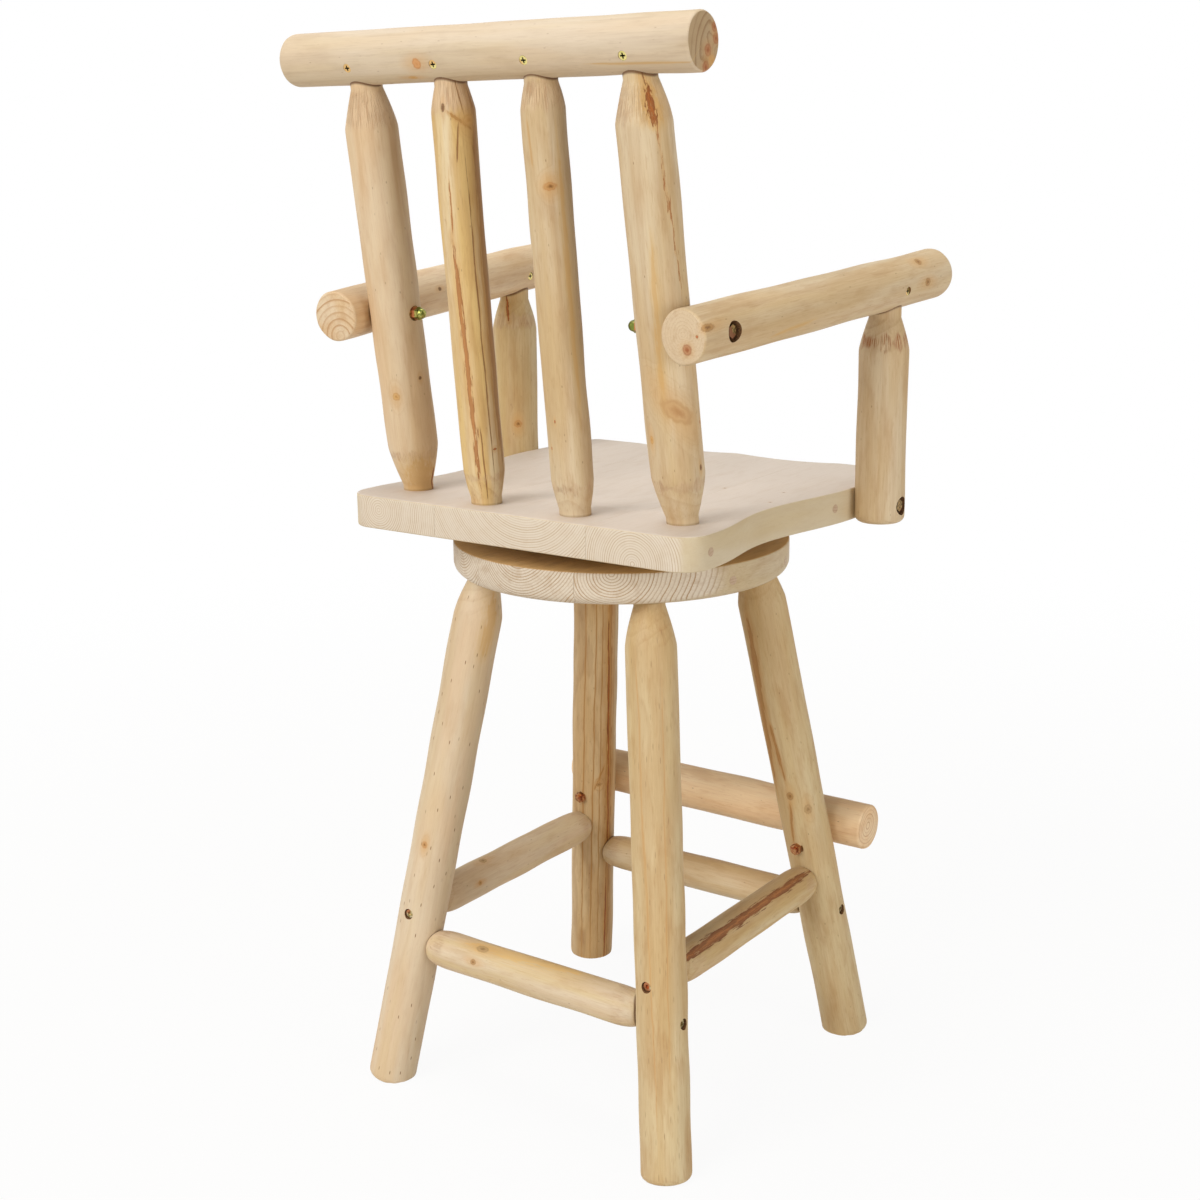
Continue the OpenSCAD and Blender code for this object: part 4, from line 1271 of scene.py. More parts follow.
def post_axis(sx: int) -> Axis:
    """The axis of a back post from the seat's top to the rail's axis, by the sign of its X."""
    return Axis((sx * S.post_foot_x, S.post_foot_y, S.seat_top), (sx * S.post_head_x, S.rail_y, S.rail_z))


def arm_axis(sx: int) -> Axis:
    """The axis of an armrest from its bolt to its post, by the sign of its X."""
    bolt = post_axis(sx).at(S.arm_bolt_z) + (sx * (S.back_post_r + S.arm_r - S.arm_cope), 0, 0)
    return Axis(bolt, (sx * S.arm_post_x, S.arm_post_y, S.arm_front_z))


@dataclass(frozen=True)
class Base:
    """Legs, stretchers and foot bar."""

    woods: dict[str, Wood]
    foot_sink: float = 0.004

    def leg(self, sx: int, sy: int) -> None:
        """Makes a leg with the bores of its stretcher bolts.

        Args:
            sx: 1 for the sitter's left, -1 for the right.
            sy: 1 for the back, -1 for the front.
        """
        name = f"leg_{END_NAMES[sy]}_{SIDE_NAMES[sx]}"
        line = leg_axis(sx, sy)
        tenon = (S.disc_thick - S.board_floor) * line.length / S.disc_under
        axis = line.extended(self.foot_sink, tenon)
        cone = coned(S.leg_r, S.leg_tenon_r, S.leg_taper, tenon + S.neck)
        inset = S.leg_r - S.stretcher_bore_depth
        bores = tuple(Bore(line.at(z) + np.multiply(way, inset), way, S.stretcher_bore_r)
                      for z, way in ((S.side_stretcher_z, (0, sy, 0)), (S.cross_stretcher_z, (sx, 0, 0))))
        Log(name, "base", "leg_log", axis, between(sawn(S.leg_r, S.foot_round), cone, axis.length),
            self.woods[name], Wave(11 + 2 * sx + sy), bores, (Joint((0, 0, S.disc_under), (0, 0, -1)),),
            floor_cut=True).build()

    def stretcher(self, name: str, height: float, corners: tuple[tuple[int, int], ...], seed: int) -> None:
        """Makes a stretcher.

        Args:
            name: Name of its node.
            height: Height of its axis.
            corners: The signs of X and Y of its two legs.
            seed: Number of its wave.
        """
        legs = [leg_axis(*corner) for corner in corners]
        line = Axis(*(leg.at(height) for leg in legs)).extended(-S.tenon_short, -S.tenon_short)
        nose = nosed(S.stretcher_r, S.stretcher_tenon_r, S.stretcher_taper + S.nose_bury,
                     S.leg_r - S.tenon_short - S.nose_bury)
        Log(name, "base", "stretcher_log", line, between(nose, nose, line.length), self.woods[name], Wave(seed),
            joints=tuple(Joint(leg.start, leg.way, S.leg_r) for leg in legs)).build()

    def foot_bar(self) -> None:
        """Makes the foot bar with the counterbores of its bolts."""
        legs = [leg_axis(sx, -1) for sx in (1, -1)]
        off = S.leg_r + S.foot_bar_r - S.foot_bar_cope
        way = np.array([0.0, -1.0, (S.foot_y - S.leg_top_y) / S.disc_under])
        way /= np.linalg.norm(way)
        _, y, z = legs[0].at(S.foot_bolt_z) + way * off
        axis = Axis((S.foot_bar_length / 2, y, z), (-S.foot_bar_length / 2, y, z))
        end = sawn(S.foot_bar_r, S.sawn_round)
        deep = off + S.foot_bar_r - S.counterbore_depth
        Log("foot_bar", "base", "stretcher_log", axis, between(end, end, axis.length), self.woods["foot_bar"],
            Wave(41), tuple(Bore(leg.at(S.foot_bolt_z) + way * deep, way, S.counterbore_r) for leg in legs),
            tuple(Joint(leg.start, leg.way, S.leg_r) for leg in legs)).build()

    def build(self) -> None:
        """Makes every log of the base."""
        for sx in (1, -1):
            for sy in (1, -1):
                self.leg(sx, sy)
        for sign in (1, -1):
            self.stretcher(f"stretcher_{SIDE_NAMES[sign]}", S.side_stretcher_z, ((sign, 1), (sign, -1)), 31 + sign)
            self.stretcher(f"stretcher_{END_NAMES[sign]}", S.cross_stretcher_z, ((1, sign), (-1, sign)), 35 + sign)
        self.foot_bar()


@dataclass(frozen=True)
class Back:
    """Back posts, spindles and top rail."""

    woods: dict[str, Wood]

    def post(self, name: str, line: Axis, r: float, tapers: tuple[float, float], seed: int) -> None:
        """Makes a log that stands in the seat and runs up into the rail.

        Args:
            name: Name of its node.
            line: Its axis from the seat's top to the rail's axis.
            r: Radius.
            tapers: Lengths of the cones at its foot and its head.
            seed: Number of its wave.
        """
        deep = S.seat_thick - S.board_floor
        axis = line.extended(deep, S.tenon_past_axis)
        start = coned(r, S.back_tenon_r, tapers[0], deep + S.neck)
        end = coned(r, S.back_tenon_r, tapers[1], S.tenon_past_axis + S.rail_r + S.head_neck)
        joints = (Joint((0, 0, S.seat_top), (0, 0, 1), share=0.3), Joint(line.end, (1, 0, 0), S.rail_r))
        Log(name, "seat", "back_log", axis, between(start, end, axis.length), self.woods[name], Wave(seed),
            joints=joints).build()

    def rail(self) -> None:
        """Makes the top rail with the holes of its screws."""
        half = S.rail_length / 2
        axis = Axis((S.rail_shift + half, S.rail_y, S.rail_z), (S.rail_shift - half, S.rail_y, S.rail_z))
        profile = between(sawn(S.rail_r, S.rail_end_round), sawn(S.rail_r, S.sawn_round), axis.length)
        deep = S.rail_r - S.screw_sink - S.screw_head
        bores = tuple(Bore((sx * x, S.rail_y + deep * RAIL_SCREW_WAY[1], S.rail_z + deep * RAIL_SCREW_WAY[2]),
                           RAIL_SCREW_WAY, S.screw_hole_r)
                      for sx in (1, -1) for x in (S.post_head_x, S.spindle_head_x))
        Log("top_rail", "seat", "back_log", axis, profile, self.woods["top_rail"],
            Wave(57, 0.00015, 0.0003, 0.00025, 0.0005), bores).build()

    def build(self) -> None:
        """Makes every log of the back."""
        for sx in (1, -1):
            self.post(f"back_post_{SIDE_NAMES[sx]}", post_axis(sx), S.back_post_r,
                      (S.back_post_taper, S.post_head_taper), 51 + sx)
            line = Axis((sx * S.spindle_foot_x, S.spindle_foot_y, S.seat_top),
                        (sx * S.spindle_head_x, S.rail_y, S.rail_z))
            self.post(f"spindle_{SIDE_NAMES[sx]}", line, S.spindle_r,
                      (S.spindle_taper, S.spindle_head_taper), 54 + sx)
        self.rail()


@dataclass(frozen=True)
class Arms:
    """Armrests and arm posts, whose feet reach foot_drop below the seat."""

    woods: dict[str, Wood]
    foot_drop: float = 0.002

    def armrest(self, sx: int) -> None:
        """Makes an armrest with the counterbore of its bolt and the hole of its screw.

        Args:
            sx: 1 for the sitter's left, -1 for the right.
        """
        name = f"armrest_{SIDE_NAMES[sx]}"
        line, post = arm_axis(sx), post_axis(sx)
        axis = line.extended(S.arm_back_over, S.arm_front_over)
        profile = between(sawn(S.arm_r, S.sawn_round), domed(S.arm_r, S.arm_dome), axis.length)
        out = math.sqrt(S.arm_r**2 - S.arm_screw_drop**2) - S.screw_sink - S.screw_head
        screw = (sx * S.arm_post_x - out, S.arm_post_y, S.arm_front_z - S.arm_screw_drop)
        bores = (Bore(line.start + (sx * (S.arm_r - S.counterbore_depth), 0, 0), (sx, 0, 0), S.counterbore_r),
                 Bore(screw, (-1, 0, 0), S.screw_hole_r))
        Log(name, "seat", "arm_log", axis, profile, self.woods[name], Wave(61 + sx), bores,
            (Joint(post.start, post.way, S.back_post_r),)).build()

    def arm_post(self, sx: int) -> None:
        """Makes an arm post with the counterbore of its bolt.

        Args:
            sx: 1 for the sitter's left, -1 for the right.
        """
        name = f"arm_post_{SIDE_NAMES[sx]}"
        x, y, arm = sx * S.arm_post_x, S.arm_post_y, arm_axis(sx)
        axis = Axis((x, y, S.seat_under - self.foot_drop), (x, y, S.arm_front_z + S.tenon_past_axis))
        cone = coned(S.arm_post_r, S.arm_tenon_r, S.arm_post_taper, S.tenon_past_axis + S.arm_r + S.neck)
        floor = (x + sx * (S.arm_post_r - S.counterbore_depth), y, S.seat_under + S.seat_thick / 2)
        Log(name, "seat", "arm_log", axis, between(sawn(S.arm_post_r, S.post_foot_round), cone, axis.length),
            self.woods[name], Wave(65 + sx), (Bore(floor, (sx, 0, 0), S.counterbore_r),),
            (Joint(arm.start, arm.way, S.arm_r),)).build()

    def build(self) -> None:
        """Makes both armrests and both arm posts."""
        for sx in (1, -1):
            self.armrest(sx)
            self.arm_post(sx)


@dataclass(frozen=True)
class Board:
    """One board of a glued panel: its node, its sides and its wood.

    low and high are the X of its two sides. pith_x and pith_z are the place of the growth rings'
    middle, in metres from the middle of the panel's width and from its underside.
    """

    node: str
    low: float
    high: float
    pith_x: float
    pith_z: float
    wood: Wood
    gap: float = 0.00012

    def build(self, panel: Piece, body: str, under: float) -> None:
        """Cuts the board out of its panel at the glue joints, a hairline apart, and dresses it.

        Args:
            panel: The whole panel.
            body: Body that it rides on.
            under: Height of the panel's underside.
        """
        cell = bmesh.new()
        cell.from_mesh(panel.data)
        for x, way in ((self.low + self.gap, -1), (self.high - self.gap, 1)):
            bmesh.ops.bisect_plane(cell, geom=[*cell.verts, *cell.edges, *cell.faces], plane_co=(x, 0, 0),
                                   plane_no=(way, 0, 0), clear_outer=True, dist=1e-7)
            open_edges = [edge for edge in cell.edges if edge.is_boundary]
            if open_edges:
                bmesh.ops.holes_fill(cell, edges=open_edges, sides=0)
        bmesh.ops.triangulate(cell, faces=[face for face in cell.faces if len(face.verts) > 4])
        piece = mesh_object(f"planed_{self.node}")
        cell.to_mesh(piece.data)
        cell.free()
        z = under + self.pith_z
        grain = Axis((self.pith_x, 0.0, z), (self.pith_x, 1.0, z), (1.0, 0.0, 0.0))
        piece.data.materials.append(self.wood.material(grain))
        hand_over(piece, self.node, body, 28.0)


def dowels(node: str, body: str, joint: float, places: tuple[float, float], z: float,
           edge: Callable[[np.ndarray], np.ndarray], wood: bpy.types.Material) -> None:
    """Makes the round dowels across the glue joints of a panel, whose outer ends follow its edge.

    Args:
        node: Name of their node.
        body: Body that they ride on.
        joint: X of the glue joint on the left.
        places: Y of their axes.
        z: Height of their axes.
        edge: Gives the half width of the panel at each Y.
        wood: Their material.
    """
    past, columns = 0.020, 32
    turn = np.arange(columns) / columns * CIRCLE
    size = S.dowel_r * np.array([[1.0], [1.0], [0.92], [0.5]])
    points, faces = [], []
    for sx in (1, -1):
        for y in places:
            ys, zs = y + size * np.cos(turn), z + size * np.sin(turn) * sx
            xs = sx * edge(ys)
            xs[0] = sx * (joint - past)
            faces += [[len(points) * (ys.size + 2) + v for v in face] for face in ring_faces(len(size), columns)]
            ends = [(xs[0, 0], y, z), (sx * edge(y), y, z)]
            points.append(np.vstack([np.stack([xs, ys, zs], axis=-1).reshape(-1, 3), ends]))
    piece = mesh_object(f"oak_{node}", np.vstack(points), faces)
    piece.data.materials.append(wood)
    hand_over(piece, node, body)


def smooth_step(share: np.ndarray) -> np.ndarray:
    """Half a cosine wave from 0 to 1, held beyond."""
    return (1 - np.cos(math.pi * np.clip(share, 0, 1))) / 2


@dataclass(frozen=True)
class Seat:
    """The dished seat of three boards, and its dowels."""

    boards: tuple[Board, ...]
    ear_y: float = 0.175
    waist_y: float = 0.045
    hip_y: float = -0.130
    middle_y: float = -0.02
    edge_round: float = 0.002
    hollow_x: float = 0.075
    hollow_half: float = 0.130
    front_share: float = 0.4
    soft: float = 0.0006

    def half_width(self, y: np.ndarray) -> np.ndarray:
        """Half the width of the seat, with its corners, at a place from front to back.

        Args:
            y: The places.

        Returns:
            The half widths.
        """
        side = S.nose_half + 0.0 * y
        for low, high, start, end in ((-S.seat_front, self.hip_y, S.nose_half, S.hip_half),
                                      (self.hip_y, self.waist_y, S.hip_half, S.waist_half),
                                      (self.waist_y, self.ear_y, S.waist_half, S.ear_half)):
            side = np.where(y > low, start + (end - start) * smooth_step((y - low) / (high - low)), side)
        for depth, r in ((S.seat_rear - y, S.rear_corner_r), (y + S.seat_front, S.front_corner_r)):
            inside = np.clip(r - depth, 0, r)
            side = side - (r - np.sqrt(np.maximum(r * r - inside * inside, 0)))
        return side

    def outline(self) -> np.ndarray:
        """Points round the seat, anticlockwise seen from above, close together at the corners.

        Returns:
            Points as rows of X and Y.
        """
        front = -S.seat_front + S.front_corner_r * (1 - np.cos(quarter(9)))
        rear = S.seat_rear - S.rear_corner_r * (1 - np.sin(quarter(9)))
        y = np.concatenate([front, np.linspace(front[-1], rear[0], 110)[1:-1], rear])
        x = self.half_width(y)
        edge = np.linspace(1, -1, 100)[1:-1]
        top = np.column_stack([x[-1] * edge, np.full(len(edge), y[-1])])
        low = np.column_stack([-x[0] * edge, np.full(len(edge), y[0])])
        return np.vstack([np.column_stack([x, y]), top, np.column_stack([-x[::-1], y[::-1]]), low])

    def top(self, x: np.ndarray, y: np.ndarray) -> np.ndarray:
        """Height of the seat's upper face.

        Each thigh hollow is part of a ball behind the middle and rises slowly towards the front.
        The two hollows and the flat rim run into each other with a soft edge.

        Args:
            x: Places across.
            y: Places from front to back.

        Returns:
            The heights.
        """
        r = self.hollow_half**2 / (2 * S.dish_depth) + S.dish_depth / 2
        slope = S.dish_depth * (1 - self.front_share) / S.seat_front
        deep = [0 * x]
        for sx in (1, -1):
            away2 = (x - sx * self.hollow_x) ** 2 + np.maximum(y, 0) ** 2
            deep.append(S.dish_depth + np.minimum(y, 0) * slope - (r - np.sqrt(r * r - np.minimum(away2, r * r))))
        levels = np.array(deep) / self.soft
        high = levels.max(0)
        joined = high + np.log(np.exp(levels - high).sum(0))
        return S.seat_top - np.maximum(self.soft * (joined - math.log(3.0)), 0)

    def panel(self) -> Piece:
        """Makes the whole seat: rings that shrink from its outline to its middle.

        Returns:
            The panel.
        """
        def ring(flat: np.ndarray, z: np.ndarray | float) -> np.ndarray:
            """A ring of points at a height."""
            return np.column_stack([flat, np.broadcast_to(z, len(flat))])

        outline, middle, r = self.outline(), np.array([0.0, self.middle_y]), self.edge_round
        ahead = np.roll(outline, -1, 0) - np.roll(outline, 1, 0)
        normal = np.column_stack([ahead[:, 1], -ahead[:, 0]])
        normal /= np.linalg.norm(normal, axis=1)[:, None]
        inner = outline - normal * r
        rings = [ring(middle + (inner - middle) * share, S.seat_under) for share in np.linspace(0.02, 1.0, 12)]
        rings += [ring(inner + normal * r * math.sin(a), S.seat_under + r * (1 - math.cos(a)))
                  for a in quarter(4)[1:]]
        rim = self.top(*inner.T)
        rings += [ring(inner + normal * r * math.cos(a), rim - r * (1 - math.sin(a))) for a in quarter(5)]
        for share in np.linspace(1.0, 0.01, 60)[1:]:
            flat = middle + (inner - middle) * share
            rings.append(ring(flat, self.top(*flat.T)))
        ends = [(*middle, S.seat_under), (*middle, float(self.top(*middle)))]
        return mesh_object("seat_panel", np.vstack([*rings, ends]), ring_faces(len(rings), len(outline)))

    def build(self, dowel_wood: bpy.types.Material) -> None:
        """Makes the boards and the dowels.

        Args:
            dowel_wood: Material of the dowels.
        """
        panel = self.panel()
        for board in self.boards:
            board.build(panel, "seat", S.seat_under)
        bpy.data.objects.remove(panel)
        dowels("seat_dowels", "seat", S.seat_joint, (S.rear_dowel_y, S.front_dowel_y),
               S.seat_under + S.seat_thick / 2, lambda y: self.half_width(y) + DOWEL_PROUD, dowel_wood)


@dataclass(frozen=True)
class Disc:
    """The round disc of three boards, and its dowels."""

    boards: tuple[Board, ...]
    columns: int = 288
    top_round: float = 0.002

    def panel(self) -> Piece:
        """Makes the whole disc as a profile turned round the swivel axis.

        Returns:
            The panel.
        """
        low, high, inner = quarter(8), quarter(5), S.disc_r * np.array([0.02, 0.2, 0.4, 0.6, 0.8])
        r = np.concatenate([inner, S.disc_r - S.disc_round * (1 - np.sin(low)),
                            S.disc_r - self.top_round * (1 - np.cos(high)), inner[::-1]])[:, None]
        z = np.concatenate([0 * inner, S.disc_round * (1 - np.cos(low)),
                            S.disc_thick - self.top_round * (1 - np.sin(high)), 0 * inner + S.disc_thick])[:, None]
        turn = np.arange(self.columns) / self.columns * CIRCLE
        rings = np.stack([r * np.cos(turn), r * np.sin(turn), S.disc_under + z + 0 * turn], axis=-1).reshape(-1, 3)
        ends = [(0, 0, S.disc_under), (0, 0, S.disc_top)]
        return mesh_object("disc_panel", np.vstack([rings, ends]), ring_faces(len(r), self.columns))

    def build(self, dowel_wood: bpy.types.Material) -> None:
        """Makes the boards and the dowels.

        Args:
            dowel_wood: Material of the dowels.
        """
        panel = self.panel()
        for board in self.boards:
            board.build(panel, "base", S.disc_under)
        bpy.data.objects.remove(panel)
        dowels("disc_dowels", "base", S.disc_joint, (S.disc_dowel_y, -S.disc_dowel_y),
               S.disc_under + S.disc_thick / 2, lambda y: np.sqrt((S.disc_r + DOWEL_PROUD) ** 2 - y**2), dowel_wood)


@dataclass(frozen=True)
class Lamp:
    """A square soft lamp: its name, place and side in metres, and its power in watts."""

    name: str
    place: Triple
    size: float
    power: float

    def build(self, aim: Triple) -> None:
        """Makes the lamp so that it shines at a point.

        Args:
            aim: The point.
        """
        data = bpy.data.lights.new(self.name, "AREA")
        data.shape, data.size, data.energy = "SQUARE", self.size, self.power
        lamp = bpy.data.objects.new(self.name, data)
        lamp.location = self.place
        lamp.rotation_mode = "QUATERNION"
        lamp.rotation_quaternion = (Vector(aim) - Vector(self.place)).to_track_quat("-Z", "Y")
        bpy.context.scene.collection.objects.link(lamp)


@dataclass(frozen=True)
class Studio:
    """Floor, lamps and the light all round, in metres."""

    floor_half: float = 30.0
    lamps: tuple[Lamp, ...] = (Lamp("key_lamp", (2.2, 11.5, 7.6), 8.0, 1250.0),
                               Lamp("side_lamp", (-6.2, 0.7, 1.5), 2.6, 125.0),
                               Lamp("top_lamp", (0.4, 0.3, 5.6), 2.4, 110.0))
    aim: Triple = (0.0, 0.0, 0.75)
    sky: float = 0.20
    warm: Triple = (1.0, 0.90, 0.76)
    matt: Triple = (0.78, 0.74, 0.68)

    @staticmethod
    def seen(g: Graph) -> Value:
        """Where a ray comes straight from the camera, or by way of metal or glass.

        Args:
            g: The graph that asks.

        Returns:
            The mask.
        """
        path = vars(g.fill(g.node("ShaderNodeLightPath")))
        shiny = g.step("MAXIMUM", path["is glossy ray"], path["is transmission ray"])
        return g.step("MAXIMUM", path["is camera ray"], shiny)

    def floor(self) -> None:
        """Makes the pale floor, which shows nearly white and keeps the stool's shadow."""
        corners = np.array([[-1, -1, 0], [1, -1, 0], [1, 1, 0], [-1, 1, 0]])
        piece = mesh_object("studio_floor", corners * self.floor_half, [[0, 1, 2, 3]])
        made, g, coords = new_material("studio_floor")
        matt = g.fill(g.node("ShaderNodeBsdfDiffuse"), Color=self.matt)
        glow = g.fill(g.node("ShaderNodeEmission"), Strength=1.0)
        far = coords.object.length.rise(0.5, 3.0, 0.94, 1.0)
        blend = g.out("ShaderNodeMixShader", (self.seen(g) * far, matt.bsdf, glow.emission))
        g.node("ShaderNodeOutputMaterial", (blend,))
        piece.data.materials.append(made)

    def world(self) -> None:
        """Makes the even warm light all round, shown as plain white."""
        world = bpy.data.worlds.new("studio_world")
        bpy.context.scene.world = world
        world.use_nodes = True
        world.node_tree.nodes.clear()
        g = Graph(world.node_tree)
        seen = self.seen(g)
        back = g.fill(g.node("ShaderNodeBackground"), Color=g.mix(seen, self.warm, (1.0, 1.0, 1.0)),
                      Strength=seen * (1.0 - self.sky) + self.sky)
        g.node("ShaderNodeOutputWorld", (back.background,))

    def build(self) -> None:
        """Makes floor, world and lamps, and sets the view transform."""
        self.floor()
        self.world()
        for lamp in self.lamps:
            lamp.build(self.aim)
        bpy.context.scene.view_settings.view_transform = "Standard"


